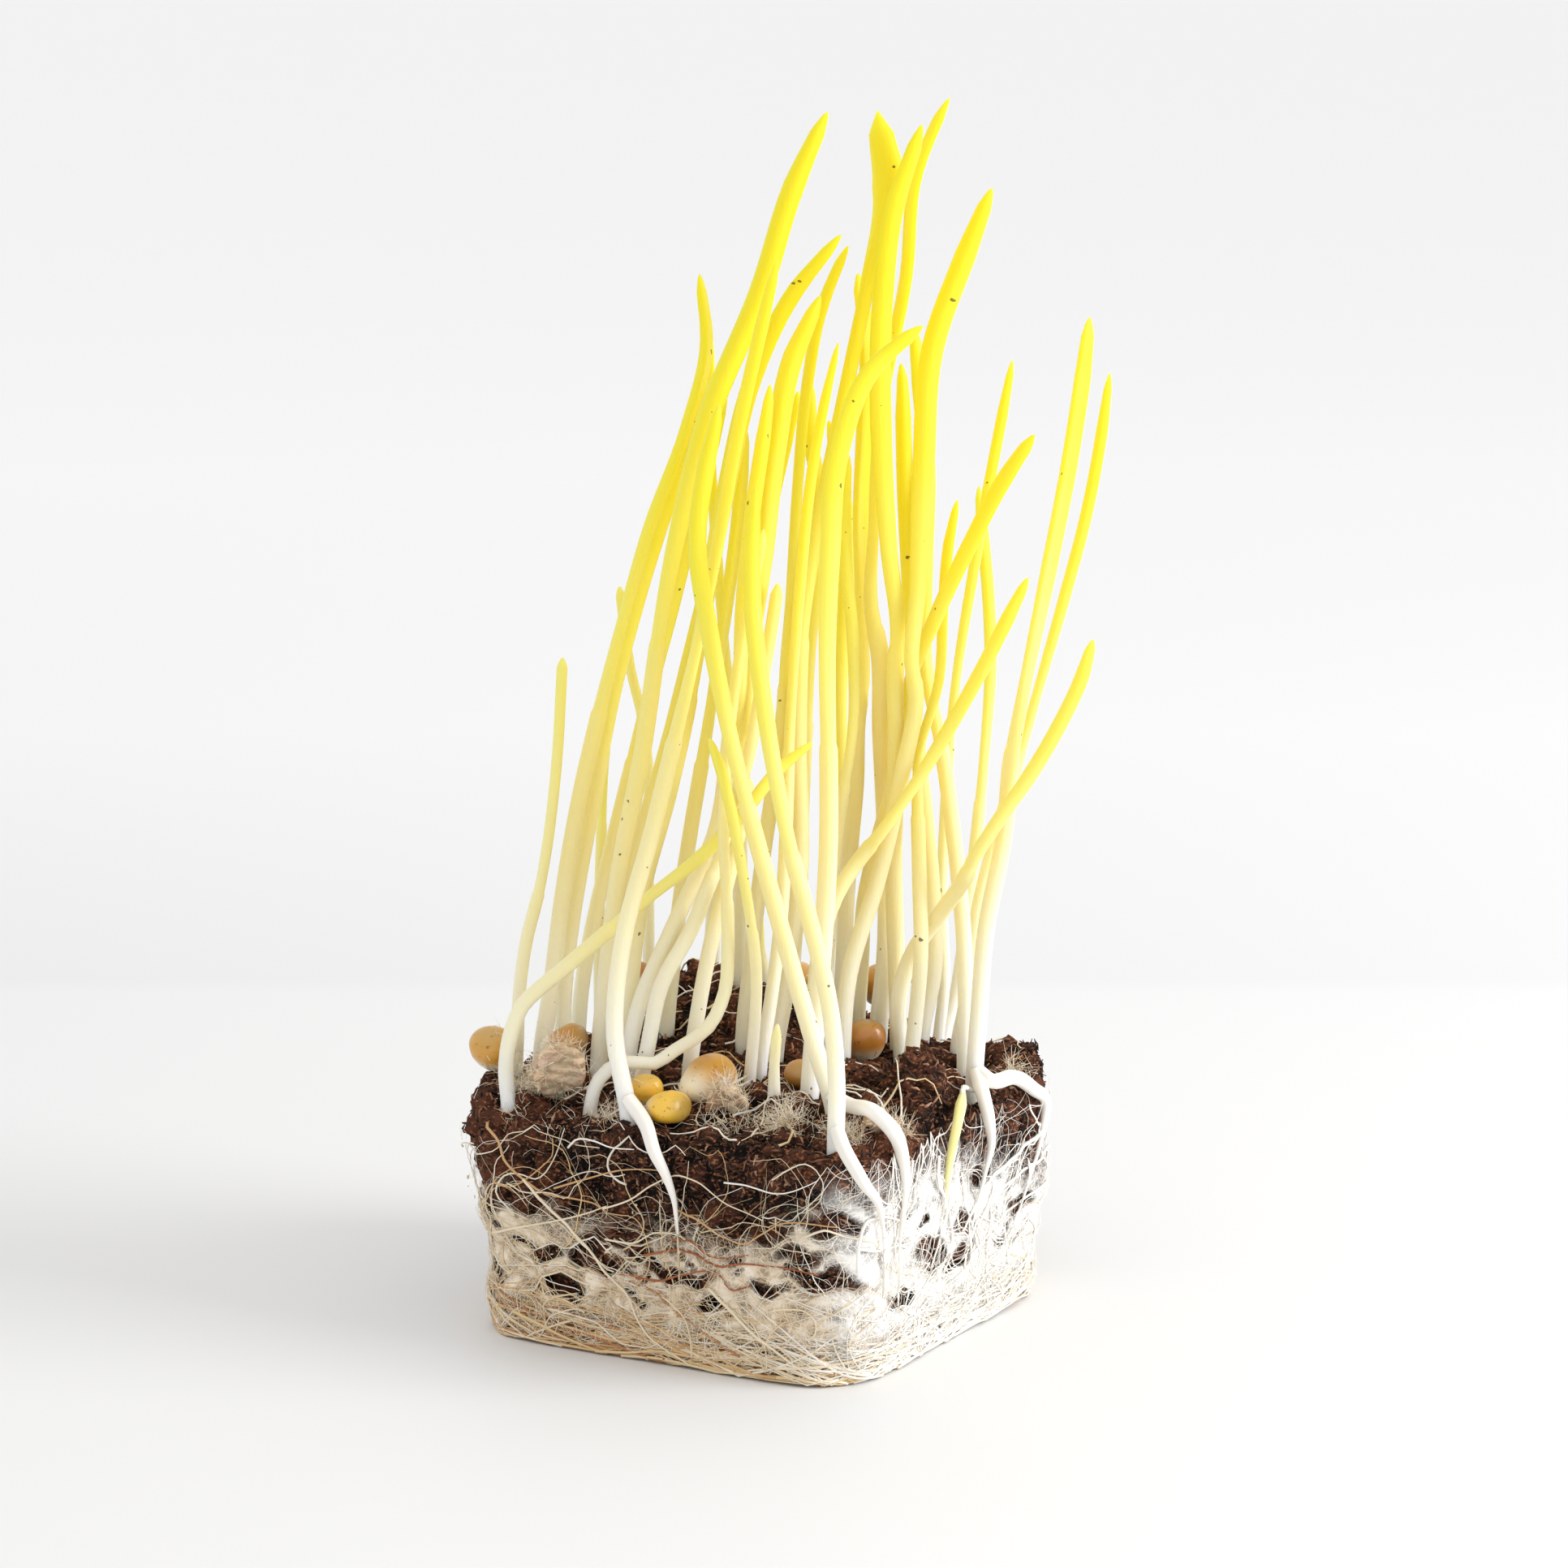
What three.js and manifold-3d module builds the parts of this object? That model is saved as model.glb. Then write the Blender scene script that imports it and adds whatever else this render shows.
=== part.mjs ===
// Popcorn seedlings growing from a root-bound plug of soil, standing free on its flat root mat.
// Millimetres, +Z up, origin at the middle of the plug's underside, plug faces square to X and Y.
// Shoots and grains are listed as they are seen from one corner side: across to the right,
// depth away from the eye, and height. VIEW_TURN turns those places into X and Y.
import * as THREE from 'three';
import Module from 'manifold-3d';

const VIEW_TURN = THREE.MathUtils.degToRad(29.5);

// The plug: half sides and the sharpness of its rounded corners, at its foot and at its shoulder.
const FOOT_HALF = 30.5;
const SHOULDER_HALF = 33;
const FOOT_SQUARENESS = 8;
const SHOULDER_SQUARENESS = 13;
const SHOULDER_HEIGHT = 32;
const AROUND = 44;
const SIDE_RELIEF = 1;
const SIDE_HEIGHTS = [12, 15.5, 19, 22.5, 26, 29.5, SHOULDER_HEIGHT];
const TOP_SHARES = [0.94, 0.85, 0.73, 0.58, 0.42, 0.24];
const TOP_LEVEL = 34;
const TOP_CROWN = 3.5;
const CROWN_FROM_EDGE = [5, 17];
const TOP_LUMPS = 0.9;

// Clumps of soil lifted by the shoots: across, depth, radius, height.
const CLUMPS = [
  [-4, 15, 25, 7],
  [-38, -10, 7, 3.5],
  [-30, -2, 9, 3],
  [-29, 9, 6, 6],
  [-9, 18, 6, 3.5],
  [20, 15, 7, 3.5],
  [22, -13, 6.5, 7.5],
  [38, 10, 7, 4],
];
const CLUMP_CROWN = 0.25;

// The root mat: a felted floor and low wall round the plug, with roots that climb from it.
const GAP = 0.3;
const MAT_FLOOR = 2.6;
const MAT_WALL = 1.5;
const MAT_RIM = 7.2;
const MAT_RIM_WAVE = 1.2;
const MAT_ROUNDING = 0.9;
const SOIL_STEP = 9.6;
const ROOT_COUNT = 32;
const ROOT_RADIUS = 0.5;
const ROOT_SUNK = 0.5;
const ROOT_STEPS = 7;
const ROOT_TAPER = 0.25;
const ROOT_LEAN = 1.1;
const ROOT_FOOT = [2.5, 4.5];
const ROOT_LEAST_CLIMB = 4;
const ROOT_LEAVES_WALL = [4, 8.6];

// The shoots: how far each stands in the soil, the room kept between them and their sections.
const STEM_SUNK = 8;
const STEM_SIDES = 5;
const HOLE_SECTIONS = 5;
const HOLE_ROOM = 0.45;
const EDGE_ROOM = 1.6;
const ROOM = 0.5;
const SETTLE_ROUNDS = 220;
const SETTLE_SHARE = 0.6;
const SHORT_LENGTH = 25;
const SHEATH_END = 0.44;
const SHEATH_STEP = 0.008;
const STEM_TAPER = 0.12;
const LEAF_NECK = 0.8;
const LEAF_FLATNESS = 0.72;
const BROAD_LEAF_THICKNESS = 1.6;
const TIP_TAPER = 0.4;
// Shares of the way at which a rolled or a broad leaf starts to open, is open, and narrows.
const ROLLED_LEAF = [SHEATH_END, 0.7, 0.9];
const BROAD_LEAF = [0.83, 0.93, 0.9];

// One line a shoot: its foot [across, depth], the depth of its tip, the stem's girth,
// the leaf's width, and its way up as [across, height] points that end at the tip.
const SHOOTS = [
  { foot: [-35.5, -4], back: 0, girth: 1.8, leaf: 1.8, bud: true,
    way: [[-34.5, 52], [-31.5, 65], [-29.5, 80], [-28.5, 96]] },
  { foot: [-36.5, -14.5], back: -12, girth: 2.1, leaf: 2.1, creeps: true,
    way: [[-36, 43], [-34, 48.5], [-29, 53], [-18.5, 62], [-7, 71.5], [2, 82], [7, 86]] },
  { foot: [-32, -2], back: 5, girth: 2.4, leaf: 2.8,
    way: [[-30, 51], [-27.5, 69], [-21, 97], [-14.5, 119], [-9.5, 132], [-8, 140], [-9, 150]] },
  { foot: [-29, 1], back: 8, girth: 2.2, leaf: 2.3,
    way: [[-28.5, 50], [-26, 66], [-20.5, 93], [-14.5, 114], [-7, 134]] },
  { foot: [-24, 12], back: 14, girth: 1.5, leaf: 1.6,
    way: [[-24, 55], [-23, 77], [-20.5, 96], [-16.5, 111]] },
  { foot: [-17, 20], back: 20, girth: 1.7, leaf: 1.7, bud: true,
    way: [[-17, 69], [-17, 79], [-19.5, 91], [-21, 103]] },
  { foot: [-24, -8], back: -5, girth: 2.4, leaf: 2.9,
    way: [[-21, 63], [-17, 84], [-13, 110], [-6.5, 134], [-2, 143], [1, 153.5], [5, 165], [9, 173.5]] },
  { foot: [-17.5, -22], back: -10, girth: 2.3, leaf: 2.6,
    way: [[-20.5, 46], [-20, 57], [-17, 68.5], [-12.5, 86.5], [-8, 105.5], [-3, 132], [2, 153.5]] },
  { foot: [-20, -10], back: 0, girth: 2.3, leaf: 2.5,
    way: [[-17.5, 62], [-12, 83], [-8, 105], [-3.5, 127.5], [1.5, 143.5], [7, 151], [11, 156]] },
  { foot: [-24.5, -17.5], back: -10, girth: 1.8, leaf: 1.8, bud: true, creeps: true,
    way: [[-22, 41], [-17, 40.5], [-10.5, 43], [-6, 49], [-5, 57], [-5.5, 76.5], [-4, 93.5], [0, 116]] },
  { foot: [-19.5, -13], back: -5, girth: 2.2, leaf: 2.8,
    way: [[-16.5, 51.5], [-12, 60.5], [-7, 70.5], [-4, 80], [-2, 93], [1.5, 126], [3, 136], [8, 148]] },
  { foot: [-17.5, -15], back: -8, girth: 2.1, leaf: 2.1, bud: true,
    way: [[-14.5, 51.5], [-10.5, 58.5], [-5, 73.5], [-1, 92], [2, 108]] },
  { foot: [-10.5, -12], back: -8, girth: 2.1, leaf: 2.1,
    way: [[-8.5, 52], [-4.5, 71], [-3, 98.5], [-1.5, 116], [1, 136]] },
  { foot: [-4, 15], back: 15, girth: 2, leaf: 2.2,
    way: [[-3.5, 64.5], [-6, 99], [-7.5, 123], [-7.5, 140]] },
  { foot: [10, -27], back: -14, girth: 2.4, leaf: 2.4,
    way: [[8.5, 41], [3, 60], [-4, 86], [-8, 107], [-9, 117], [-6, 134]] },
  { foot: [10, -37.5], back: -18, girth: 2.3, leaf: 2.3,
    way: [[10, 46.5], [8.5, 56.5], [3, 77.5], [-1, 103], [-1.5, 112], [-1, 123]] },
  { foot: [11.5, -3], back: 0, girth: 2.3, leaf: 3,
    way: [[12, 49], [15.5, 61], [19.5, 79], [22, 102], [23.5, 138], [25.5, 145], [32, 162.5]] },
  { foot: [16.5, 8], back: 0, girth: 2.5, leaf: 3.9,
    way: [[17, 60], [16, 84.5], [15.5, 117.5], [18, 145.5], [20, 157], [22, 166], [26, 175]] },
  { foot: [19.5, 5], back: -8, girth: 2.4, leaf: 3.1,
    way: [[19, 53], [18.5, 64], [19.5, 90], [17.5, 115], [16.5, 138], [18, 158.5], [22, 172]] },
  { foot: [23, 12], back: 8, girth: 2.2, leaf: 2.2,
    way: [[24.5, 44], [24.5, 59], [22, 83.5], [21, 105], [20, 131], [19.5, 137]] },
  { foot: [29, 3], back: 10, girth: 2.2, leaf: 2.7,
    way: [[29, 51.5], [26, 78.5], [23, 96], [23, 121.5], [21.5, 142]] },
  { foot: [30, -7], back: -5, girth: 2.3, leaf: 2.8,
    way: [[31.5, 57], [34.5, 79.5], [40.5, 112], [43.5, 129], [45.5, 145]] },
  { foot: [28, 11], back: 5, girth: 1.8, leaf: 1.8,
    way: [[29.5, 44], [31, 57.5], [38.5, 86.5], [46.5, 118.5], [49, 136]] },
  { foot: [25.5, 18], back: 12, girth: 1.6, leaf: 1.6,
    way: [[26, 60.5], [27.5, 87.5], [31, 111.5], [35.5, 137]] },
  { foot: [13.5, 10], back: -5, girth: 2.2, leaf: 2.8,
    way: [[15.5, 60.5], [20.5, 85], [26, 105], [34, 122.5], [38, 128.5]] },
  { foot: [27, 21], back: 18, girth: 1.8, leaf: 1.8,
    way: [[29.5, 51.5], [32, 76], [33, 94], [31, 118]] },
  { foot: [6.5, -8], back: 0, girth: 2.1, leaf: 2.2,
    way: [[9, 59.5], [14.5, 68.5], [26.5, 86.5], [37.5, 107.5]] },
  { foot: [17.5, 2], back: -14, girth: 2.2, leaf: 2.3,
    way: [[20.5, 50.5], [34.5, 75], [40, 85], [44, 93.5], [46, 101]] },
  { foot: [1.5, -5], back: 5, girth: 2.4, leaf: 5.2, broad: true,
    way: [[5, 62.5], [5, 97], [10, 126], [14, 145], [17, 159], [16, 173]] },
  { foot: [6.5, -20], back: -20, girth: 2.5, leaf: 3.1,
    way: [[9, 70.5], [9, 105], [10.5, 126.5], [12, 134], [16, 140.5], [22, 145.5]] },
  { foot: [-0.5, -9], back: -5, girth: 1.8, leaf: 1.8,
    way: [[2.5, 60], [4, 92], [7, 124.5], [10.5, 141.5]] },
  { foot: [-3, -2], back: 4, girth: 2.1, leaf: 2.6,
    way: [[-0.5, 64], [3, 90], [5.5, 126], [8, 144.5], [13, 154]] },
  { foot: [11, 6], back: 5, girth: 2.2, leaf: 2.8,
    way: [[12.5, 65.5], [14.5, 90.5], [14, 115], [14.5, 140.5], [13.5, 150]] },
  { foot: [8.5, 1], back: 0, girth: 1.7, leaf: 1.7,
    way: [[10.5, 69], [13, 90], [11.5, 114.5], [12, 125]] },
  { foot: [-2, -15], back: -19, girth: 1.6, leaf: 1.5,
    way: [[-1, 54], [-3, 69], [-5.5, 82], [-7.5, 88]] },
  { foot: [1.5, -22], back: -22, girth: 1.7, leaf: 1.6, bud: true, way: [[1.5, 41], [2, 48]] },
  { foot: [0, 22], back: 22, girth: 1.6, leaf: 1.6, way: [[-0.5, 48], [-1, 55]] },
  { foot: [-27, 5], back: 8, girth: 2.1, leaf: 2.2,
    way: [[-26, 49], [-19.5, 77], [-13.5, 101], [-8, 124], [-6.5, 134]] },
  { foot: [-23, 5], back: 10, girth: 2.1, leaf: 2.2,
    way: [[-22, 51], [-14.5, 80.5], [-8.5, 104], [-4, 124]] },
  { foot: [-8, 28], back: 16, girth: 2.2, leaf: 2.4,
    way: [[-7, 62], [-3, 95], [2, 120], [5, 132]] },
  { foot: [12, 26], back: 14, girth: 2.2, leaf: 2.4,
    way: [[12, 60], [11, 90], [12, 112], [9, 128]] },
  { foot: [-14, 4], back: 6, girth: 2.1, leaf: 2.2,
    way: [[-12, 60], [-7.5, 88], [-4, 112], [-2.5, 128]] },
  { foot: [4, 12], back: 14, girth: 2.1, leaf: 2.3,
    way: [[5, 62], [6.5, 92], [8, 118], [6.5, 134]] },
  { foot: [21, -4], back: 4, girth: 2, leaf: 2.1,
    way: [[22.5, 56], [22, 82], [25, 104], [27.5, 118]] },
];
// The listed girths are of a shoot's bright middle, and its shaded edges add this share.
const EDGE_SHARE = 1.1;

// Thick roots that leave the foot of a front shoot, arch over the plug's edge and run down a face
// into the mat: the shoot's number, the face, the arch as [across, depth, height] points, and the
// way down as [across, height] points.
const STEM_ROOTS = [
  { shoot: 8, face: 'left', arch: [[-16.4, -26.8, 34.6]],
    down: [[-15, 31.4], [-13.6, 28.6], [-12.5, 25.5], [-11.8, 18], [-11.5, 10], [-11.5, 3.5]] },
  { shoot: 16, face: 'right', arch: [[11.2, -41.5, 34.8]],
    down: [[13.8, 31], [15.8, 27], [16.8, 18], [16.5, 10], [16.5, 3.5]] },
  { shoot: 15, face: 'right', arch: [[12.4, -31.5, 38.4], [15.2, -36, 38.8], [17.8, -37.5, 36.6]],
    down: [[19.3, 32], [19.6, 25], [19, 19], [18.8, 10], [18.8, 3.5]] },
  { shoot: 22, face: 'right', arch: [[32.4, -9.4, 36.4], [35.6, -5.6, 36]],
    down: [[38.8, 33], [40.8, 30], [40.4, 26], [38, 18], [34.5, 10], [34, 3.5]] },
  { shoot: 22, face: 'right', arch: [[31, -10.8, 35.4]],
    down: [[32, 31.5], [32.4, 28], [31.4, 23], [29.5, 16], [28.5, 10], [28.5, 3.5]] },
  { shoot: 22, face: 'right', arch: [[28.4, -12, 36.2]],
    down: [[27.2, 33], [26.2, 28.4], [25.5, 22.7], [24.5, 12], [24.5, 3.5]] },
];
const STEM_ROOT_RADIUS = 0.75;
const STEM_ROOT_TAPER = 0.5;
const STEM_ROOT_STEPS = 14;

// Whole grains: across, depth, height of the middle, length, turn and tilt in degrees.
const GRAINS = [
  [-38.5, -8, 40.6, 7.6, 20, 60],
  [-28.5, -7, 41.5, 7.2, 100, 20],
  [-16.5, -19, 37.2, 5.6, 30, 70],
  [-13.5, -23, 36, 7, 80, 10],
  [-8, -17.5, 38.6, 9, 150, 25],
  [14.5, 1, 39.5, 7, 40, 80],
  [-19, 14.5, 45, 7.4, 200, 30],
  [6, -14.5, 38.4, 6.6, 10, 30],
  [4, 29, 42, 7.4, 120, 20],
  [17, 22, 43, 7, 60, 65],
];
const GRAIN_WIDTH = 0.88;
const GRAIN_DEPTH = 0.68;
const GRAIN_CROWN = 0.22;

// Split husks, thin curled flakes: across, depth, height of the middle, length, turn and tilt.
const HUSKS = [
  [-29.5, -16, 39.6, 10, 40, 60],
  [21.5, 17.5, 46.5, 7, 30, 50],
  [-5.5, -23.5, 37.2, 7.5, 35, 45],
  [16, -30.5, 35.4, 6.5, 30, 40],
];
const HUSK_WIDTH = 0.7;
const HUSK_THICKNESS = 0.9;
const HUSK_CURL = 0.09;

const KERNEL_SIDES = 10;
const KERNEL_RINGS = 6;

const wasm = await Module();
wasm.setup();

// A repeatable random draw between 0 and 1.
function drawing(seed) {
  let state = seed;
  return () => {
    state = (state * 1664525 + 1013904223) % 4294967296;
    return state / 4294967296;
  };
}

// From the listed view, across, depth and height, to the plug's own X, Y and Z.
function placed(across, depth, height) {
  const x = across * Math.cos(VIEW_TURN) - depth * Math.sin(VIEW_TURN);
  const y = across * Math.sin(VIEW_TURN) + depth * Math.cos(VIEW_TURN);
  return new THREE.Vector3(x, y, height);
}

function eased(from, to, value) {
  return THREE.MathUtils.smoothstep(value, from, to);
}

// Slow uneven waves, from -1 to 1, that make the soil lumpy.
function lumps(x, y, z) {
  const first = Math.sin(0.62 * x + 1.7 * Math.sin(0.31 * y + 0.2 * z));
  const second = Math.sin(0.71 * y + 1.3 * Math.sin(0.27 * x - 0.4 * z) + 1);
  return first * second * Math.cos(0.55 * z + 0.4 * x);
}

// Distance from the axis to the rounded square's outline in one direction.
function outline(angle, half, squareness) {
  const c = Math.abs(Math.cos(angle)) ** squareness;
  const s = Math.abs(Math.sin(angle)) ** squareness;
  return half / (c + s) ** (1 / squareness);
}

// The plug's outer face at a height, moved in or out by an offset.
function plugRadius(angle, z, offset) {
  const share = THREE.MathUtils.clamp(z / SHOULDER_HEIGHT, 0, 1);
  const half = THREE.MathUtils.lerp(FOOT_HALF, SHOULDER_HALF, share);
  const squareness = THREE.MathUtils.lerp(FOOT_SQUARENESS, SHOULDER_SQUARENESS, share);
  return outline(angle, half + offset, squareness);
}

function around(angle, radius, z) {
  return new THREE.Vector3(radius * Math.cos(angle), radius * Math.sin(angle), z);
}

function ring(at) {
  return Array.from({ length: AROUND }, (_, i) => at((i / AROUND) * 2 * Math.PI));
}

// A closed skin over rings of points in order, with a point closing each end.
function loft(rings, first, last) {
  const points = [first, ...rings.flat(), last];
  const sides = rings[0].length;
  const faces = [];
  const at = (r, i) => 1 + r * sides + (i % sides);
  for (let i = 0; i < sides; i += 1) {
    faces.push(0, at(0, i + 1), at(0, i));
    for (let r = 0; r + 1 < rings.length; r += 1) {
      faces.push(at(r, i), at(r, i + 1), at(r + 1, i + 1));
      faces.push(at(r, i), at(r + 1, i + 1), at(r + 1, i));
    }
    faces.push(at(rings.length - 1, i), at(rings.length - 1, i + 1), points.length - 1);
  }
  const geometry = new THREE.BufferGeometry().setFromPoints(points);
  geometry.setIndex(faces);
  return geometry;
}

function middle(points) {
  const sum = points.reduce((total, p) => total.add(p), new THREE.Vector3());
  return sum.divideScalar(points.length);
}

function solid(geometry) {
  const vertProperties = new Float32Array(geometry.getAttribute('position').array);
  const triVerts = new Uint32Array(geometry.getIndex().array);
  return new wasm.Manifold(new wasm.Mesh({ numProp: 3, vertProperties, triVerts }));
}

function skin(manifold) {
  const mesh = manifold.getMesh();
  const geometry = new THREE.BufferGeometry();
  geometry.setAttribute('position', new THREE.BufferAttribute(mesh.vertProperties, 3));
  geometry.setIndex(new THREE.BufferAttribute(mesh.triVerts, 1));
  return geometry;
}

// Height of the soil's top: level at the shoulder, crowned inside, with the lifted clumps.
function soilTop(across, depth) {
  const at = placed(across, depth, 0);
  const edge = SHOULDER_HALF - Math.max(Math.abs(at.x), Math.abs(at.y));
  let height = TOP_LEVEL + TOP_CROWN * eased(...CROWN_FROM_EDGE, edge) + TOP_LUMPS * lumps(at.x, at.y, 0);
  for (const [clumpAcross, clumpDepth, radius, rise] of CLUMPS) {
    const away = Math.hypot(across - clumpAcross, depth - clumpDepth) / radius;
    height += rise * (1 - eased(CLUMP_CROWN, 1, away)) * eased(-1, 3, edge);
  }
  return height;
}

function soilTopAt(x, y) {
  const across = x * Math.cos(VIEW_TURN) + y * Math.sin(VIEW_TURN);
  const depth = y * Math.cos(VIEW_TURN) - x * Math.sin(VIEW_TURN);
  return soilTop(across, depth);
}

// The soil stands back inside the mat's wall and swells to the plug's face above it.
function soilBlock() {
  const inner = -(MAT_WALL + GAP);
  const rings = [
    ring((a) => around(a, plugRadius(a, MAT_FLOOR, inner), MAT_FLOOR + GAP)),
    ring((a) => around(a, plugRadius(a, SOIL_STEP, inner), SOIL_STEP)),
  ];
  for (const z of SIDE_HEIGHTS) {
    rings.push(ring((a) => {
      const face = around(a, plugRadius(a, z, 0), z);
      const dent = SIDE_RELIEF * (0.5 + 0.5 * lumps(face.x, face.y, z));
      return around(a, plugRadius(a, z, -dent), z);
    }));
  }
  for (const share of TOP_SHARES) {
    rings.push(ring((a) => {
      const p = around(a, share * plugRadius(a, SHOULDER_HEIGHT, 0), 0);
      return p.setZ(soilTopAt(p.x, p.y));
    }));
  }
  const floor = new THREE.Vector3(0, 0, MAT_FLOOR + GAP);
  return loft(rings, floor, new THREE.Vector3(0, 0, soilTopAt(0, 0)));
}

// A tube of a few sides along a line of points, pointed or rounded off at its far end.
function tube(points, halfWidths, halfDepths, sides, facing) {
  const rings = [];
  for (let i = 0; i + 1 < points.length; i += 1) {
    const before = points[Math.max(i - 1, 0)];
    const along = points[i + 1].clone().sub(before).normalize();
    const wide = facing.clone().addScaledVector(along, -facing.dot(along)).normalize();
    const deep = along.clone().cross(wide);
    rings.push(Array.from({ length: sides }, (_, k) => {
      const turn = (k / sides) * 2 * Math.PI;
      return points[i].clone()
        .addScaledVector(wide, halfWidths[i] * Math.cos(turn))
        .addScaledVector(deep, halfDepths[i] * Math.sin(turn));
    }));
  }
  return loft(rings, middle(rings[0]), points.at(-1));
}

// The felted cup under the plug: flat floor, low wall with a wavy rim.
function matCup() {
  const rim = (a) => MAT_RIM + MAT_RIM_WAVE * Math.sin(3 * a + 0.6) * Math.cos(5 * a);
  const wall = (a, z, offset) => around(a, plugRadius(a, z, offset), z);
  const rings = [
    ring((a) => wall(a, 0, -MAT_ROUNDING)),
    ring((a) => wall(a, MAT_ROUNDING, 0)),
    ring((a) => wall(a, rim(a) - MAT_ROUNDING, 0)),
    ring((a) => wall(a, rim(a), -MAT_WALL / 2)),
    ring((a) => wall(a, rim(a) - MAT_ROUNDING, -MAT_WALL)),
    ring((a) => wall(a, MAT_FLOOR, -MAT_WALL)),
  ];
  const underside = new THREE.Vector3(6, 4, 0);
  return loft(rings, underside, new THREE.Vector3(0, 0, MAT_FLOOR));
}

// One root: it leaves the wall of the mat and wanders up the plug's side, just off the soil.
function climbingRoot(draw) {
  const start = draw() * 2 * Math.PI;
  const lean = (draw() - 0.5) * ROOT_LEAN;
  const wander = 0.05 + 0.06 * draw();
  const phase = draw() * 2 * Math.PI;
  const lowest = MAT_RIM + ROOT_LEAST_CLIMB;
  const top = THREE.MathUtils.lerp(lowest, SHOULDER_HEIGHT, draw() ** 1.4);
  const foot = THREE.MathUtils.lerp(...ROOT_FOOT, draw());
  const points = [];
  for (let i = 0; i <= ROOT_STEPS; i += 1) {
    const share = i / ROOT_STEPS;
    const z = THREE.MathUtils.lerp(foot, top, share);
    const angle = start + lean * share + wander * Math.sin(phase + 5 * share) * share;
    const out = eased(...ROOT_LEAVES_WALL, z);
    const clear = THREE.MathUtils.lerp(-ROOT_SUNK, GAP + ROOT_RADIUS, out);
    points.push(around(angle, plugRadius(angle, z, clear), z));
  }
  const widths = points.map((_, i) => ROOT_RADIUS * (1 - ROOT_TAPER * (i / ROOT_STEPS)));
  return tube(points, widths, widths, 3, around(start + 0.5 * lean, 1, 0));
}

// A point of a face, in the listed view: sunk in the mat's wall low down, just off the soil above.
function onFace(face, across, z) {
  const clear = THREE.MathUtils.lerp(-ROOT_SUNK, GAP + STEM_ROOT_RADIUS, eased(...ROOT_LEAVES_WALL, z));
  const half = THREE.MathUtils.lerp(FOOT_HALF, SHOULDER_HALF, z / SHOULDER_HEIGHT) + clear;
  const depth = face === 'left'
    ? (-half - across * Math.sin(VIEW_TURN)) / Math.cos(VIEW_TURN)
    : (across * Math.cos(VIEW_TURN) - half) / Math.sin(VIEW_TURN);
  return new THREE.Vector3(across, depth, z);
}

// One thick root from beside its shoot's foot, with some extra thickness all round.
function stemRoot({ shoot, face, arch, down }, lines, extra) {
  const line = lines[shoot - 1];
  const foot = line.points[1];
  const way = [
    ...arch.map((p) => new THREE.Vector3(...p)),
    ...down.map(([across, z]) => onFace(face, across, z)),
  ];
  const out = way[0].clone().sub(foot).setLength(line.widths[1] + STEM_ROOT_RADIUS + ROOM);
  const curve = new THREE.CatmullRomCurve3([foot.clone().add(out), ...way], false, 'centripetal');
  const shares = Array.from({ length: STEM_ROOT_STEPS + 1 }, (_, i) => i / STEM_ROOT_STEPS);
  const points = shares.map((t) => curve.getPointAt(t)).map((p) => placed(p.x, p.y, p.z));
  const widths = shares.map((t) => STEM_ROOT_RADIUS * (1 - STEM_ROOT_TAPER * t) + extra);
  return solid(tube(points, widths, widths, STEM_SIDES, placed(1, 0.6, 0)));
}

function rootMat(lines) {
  const draw = drawing(7);
  const climbing = Array.from({ length: ROOT_COUNT }, () => solid(climbingRoot(draw)));
  const thick = STEM_ROOTS.map((root) => stemRoot(root, lines, 0));
  return skin(wasm.Manifold.union([solid(matCup()), ...climbing, ...thick]));
}

// Where a shoot's sections sit: the foot, the soil's surface, then shares of its way up.
const SHEATH_SHARES = [SHEATH_END, SHEATH_END + SHEATH_STEP];
const LEAF_SHARES = [0.55, 0.68, 0.81, 0.92, 0.975, 1];
const LONG_SHARES = [0.1, 0.21, 0.33, ...SHEATH_SHARES, ...LEAF_SHARES];
const CREEPING_SHARES = [0.05, 0.1, 0.15, 0.2, 0.25, 0.31, 0.37, ...SHEATH_SHARES, ...LEAF_SHARES];
const SHORT_SHARES = [0.45, 0.8, 1];

// Half the width along a shoot: a stem and sheath, a small step, then the leaf up to its tip.
function halfWidth(shoot, share) {
  const stem = EDGE_SHARE * shoot.girth / 2;
  if (share <= SHEATH_END) {
    return stem * (1 - STEM_TAPER * share);
  }
  if (shoot.bud) {
    return stem * LEAF_NECK;
  }
  const [opens, open, narrows] = shoot.broad ? BROAD_LEAF : ROLLED_LEAF;
  const body = THREE.MathUtils.lerp(LEAF_NECK * stem, EDGE_SHARE * shoot.leaf / 2, eased(opens, open, share));
  return body * (1 - TIP_TAPER * eased(narrows, 1, share));
}

// Half the depth: stems and buds are round, leaves are rolled flatter.
function halfDepth(shoot, share) {
  const half = halfWidth(shoot, share);
  if (share <= SHEATH_END + SHEATH_STEP || shoot.bud) {
    return half;
  }
  return Math.min(half * LEAF_FLATNESS, BROAD_LEAF_THICKNESS / 2);
}

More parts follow.
